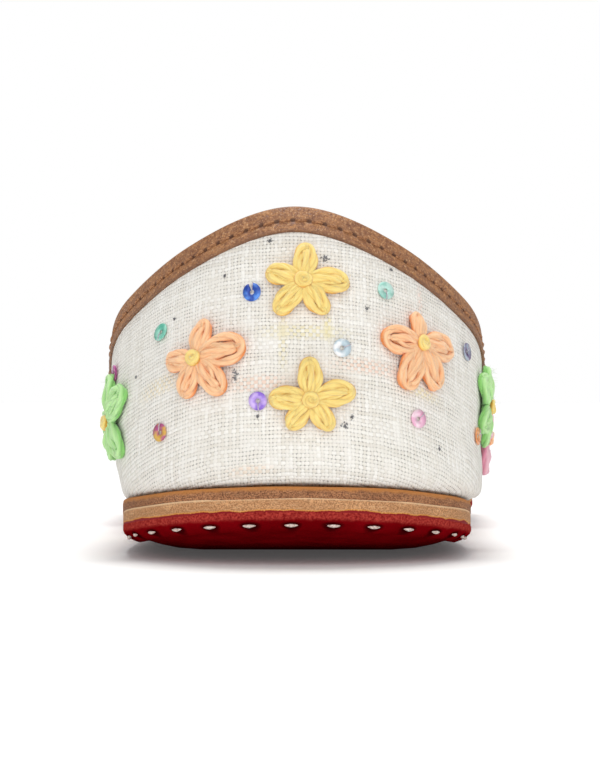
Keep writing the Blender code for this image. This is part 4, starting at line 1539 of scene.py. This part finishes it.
# %% The sequins
sequin_groups = {name: [] for name in SEQUIN_TINTS}
stitch_lines = []
for tint, pixel, degrees, split in SEEN_SEQUINS:
    spot = spot_on_cloth(*seen_at(*pixel, SEQUIN_PROUD), SEQUIN_PROUD)
    sequin_groups[tint].append(sequin(spot, len(stitch_lines), split))
    stitch_lines.append(sequin_stitch(spot, degrees))
for tint, around, share_up, degrees in OTHER_SEQUINS:
    height = share_up * below_edge(np.array([around]), BINDING_WIDTH)[0]
    spot = spot_on_cloth(around, height, SEQUIN_PROUD)
    sequin_groups[tint].append(sequin(spot, len(stitch_lines), False))
    stitch_lines.append(sequin_stitch(spot, degrees))
for tint, group in sequin_groups.items():
    rings = np.array(group)
    along = np.tile(np.linspace(0, 9, SEQUIN_STEPS), (len(group), 1))
    mesh = bundle(tint + "_sequins", rings, along)
    show(tint + "_sequins", mesh, finish_sequin(tint), "cotton", "upper")
show_strands("sequin_stitches", np.array(stitch_lines), UPWARD + 0.1, SEQUIN_THREAD, 5,
             finish_thread("clear_nylon_thread", "DCD5DC", "A39AA6"), "cotton", "upper")

# %% [markdown]
# ## Lint
# Dark flecks of lint and seed sit in the weave. Each is a small tangle of short grey fibres, placed where
# the photograph has one, and scattered as thinly over the sides that it doesn't show.

# %% Lint
# Pixel and size in millimetres
SEEN_LINT = [
    (270, 241, 0.8), (326, 259, 1.5), (225, 276, 0.6), (175, 319, 0.6), (136, 377, 0.6), (367, 308, 0.7),
    (390, 270, 0.6), (346, 426, 1.4), (236, 372, 1.1), (235, 378, 0.9), (436, 448, 0.7), (228, 336, 1.0),
    (338, 292, 0.8), (258, 416, 0.6), (398, 366, 0.7), (402, 372, 0.6), (235, 345, 0.8), (352, 417, 0.7),
]
OTHER_LINT = [
    (0.24, 0.80), (0.30, 0.15), (0.37, 0.62), (0.47, 0.36), (0.56, 0.70), (0.66, 0.42),
    (0.78, 0.50), (0.88, 0.20), (0.97, 0.55), (1.05, 0.45), (1.17, 0.40), (1.28, 0.75),
    (1.36, 0.48), (1.46, 0.45), (1.58, 0.52), (1.70, 0.82),
]
LINT_FIBRES = 18


def lint_lines(middle, size):
    """Short curved fibres that lie on the cloth in a tangle this big, in millimetres."""
    run = np.linspace(-0.5, 0.5, 5)
    lines = []
    for _ in range(LINT_FIBRES):
        start = random.normal(0.0, 0.22 * size, 2)
        angle = random.uniform(0, 2 * math.pi)
        length = random.uniform(0.10, 0.24) * size
        bend = random.uniform(-0.5, 0.5) * size
        way = np.array([math.cos(angle), math.sin(angle)])
        off = np.array([-way[1], way[0]])
        points = start + run[:, None] * length * way + (run**2)[:, None] * bend * off
        lines.append(laid_on(middle, random.uniform(0.02, 0.16) * MM + 0 * run, points * MM))
    return lines


lint = [line for x, y, size in SEEN_LINT for line in lint_lines(seen_at(x, y), size)]
lint += [line for around, up in OTHER_LINT for line in lint_lines((around, up), 0.8)]
show_strands("lint", np.array(lint), UPWARD + 0.2, LINT_THREAD, 4,
             finish_thread("charcoal_cotton_lint", "A0A0A2", "7A7A7C"), "cotton", "upper")

# %% [markdown]
# ## Floor and light
# The photograph is a plain cut-out on white with a soft shadow. White paper on a light table gives the
# floor. One soft light stands above and a little beyond the shoe, so its shadow falls towards the camera.
# A wider one beside the camera lights the heel, and an even white surround fills in the rest.

# %% Floor, surround and lights
def make_floor():
    """A pale sheet under the shoe."""
    shape = bmesh.new()
    bmesh.ops.create_grid(shape, x_segments=1, y_segments=1, size=4.0)
    mesh = bpy.data.meshes.new("floor")
    shape.to_mesh(mesh)
    shape.free()
    # A light table: the paper glows a little, which keeps the shadow from going black
    material = new_material(
        "white_paper", Base_Color=hex_colour("F6F6F6"), Roughness=0.9, Specular_IOR_Level=0.1,
        Emission_Color=(1.0, 1.0, 1.0, 1.0), Emission_Strength=0.06)[0]
    mesh.materials.append(material)
    put("floor", mesh)


make_floor()
world = bpy.data.worlds.new("surround")
bpy.context.scene.world = world
world.use_nodes = True
world_tree = world.node_tree
background = world_tree.nodes["Background"]
background.inputs[0].default_value = (1.0, 1.0, 1.0, 1.0)
# The surround is drawn white, and lights the shoe at a fraction of that
SURROUND_LIGHT = 0.30
seen = add(world_tree, "LightPath").outputs["Is Camera Ray"]
strength = scaled(world_tree, seen, 1 - SURROUND_LIGHT, SURROUND_LIGHT)
world_tree.links.new(strength, background.inputs[1])


def make_sun(name, energy, degrees, direction):
    """A distant light this wide, shining from a direction."""
    light = bpy.data.lights.new(name, "SUN")
    light.energy = energy
    light.angle = math.radians(degrees)
    sun = put(name, light)
    sun.rotation_euler = Vector(direction).to_track_quat("Z", "Y").to_euler()


make_sun("top_softbox", 2.22, 34, (0.0, 0.28, 0.96))
make_sun("front_softbox", 1.66, 75, (0.05, -0.92, 0.40))
bpy.context.scene.view_settings.view_transform = "Standard"
bpy.context.scene.view_settings.look = "None"
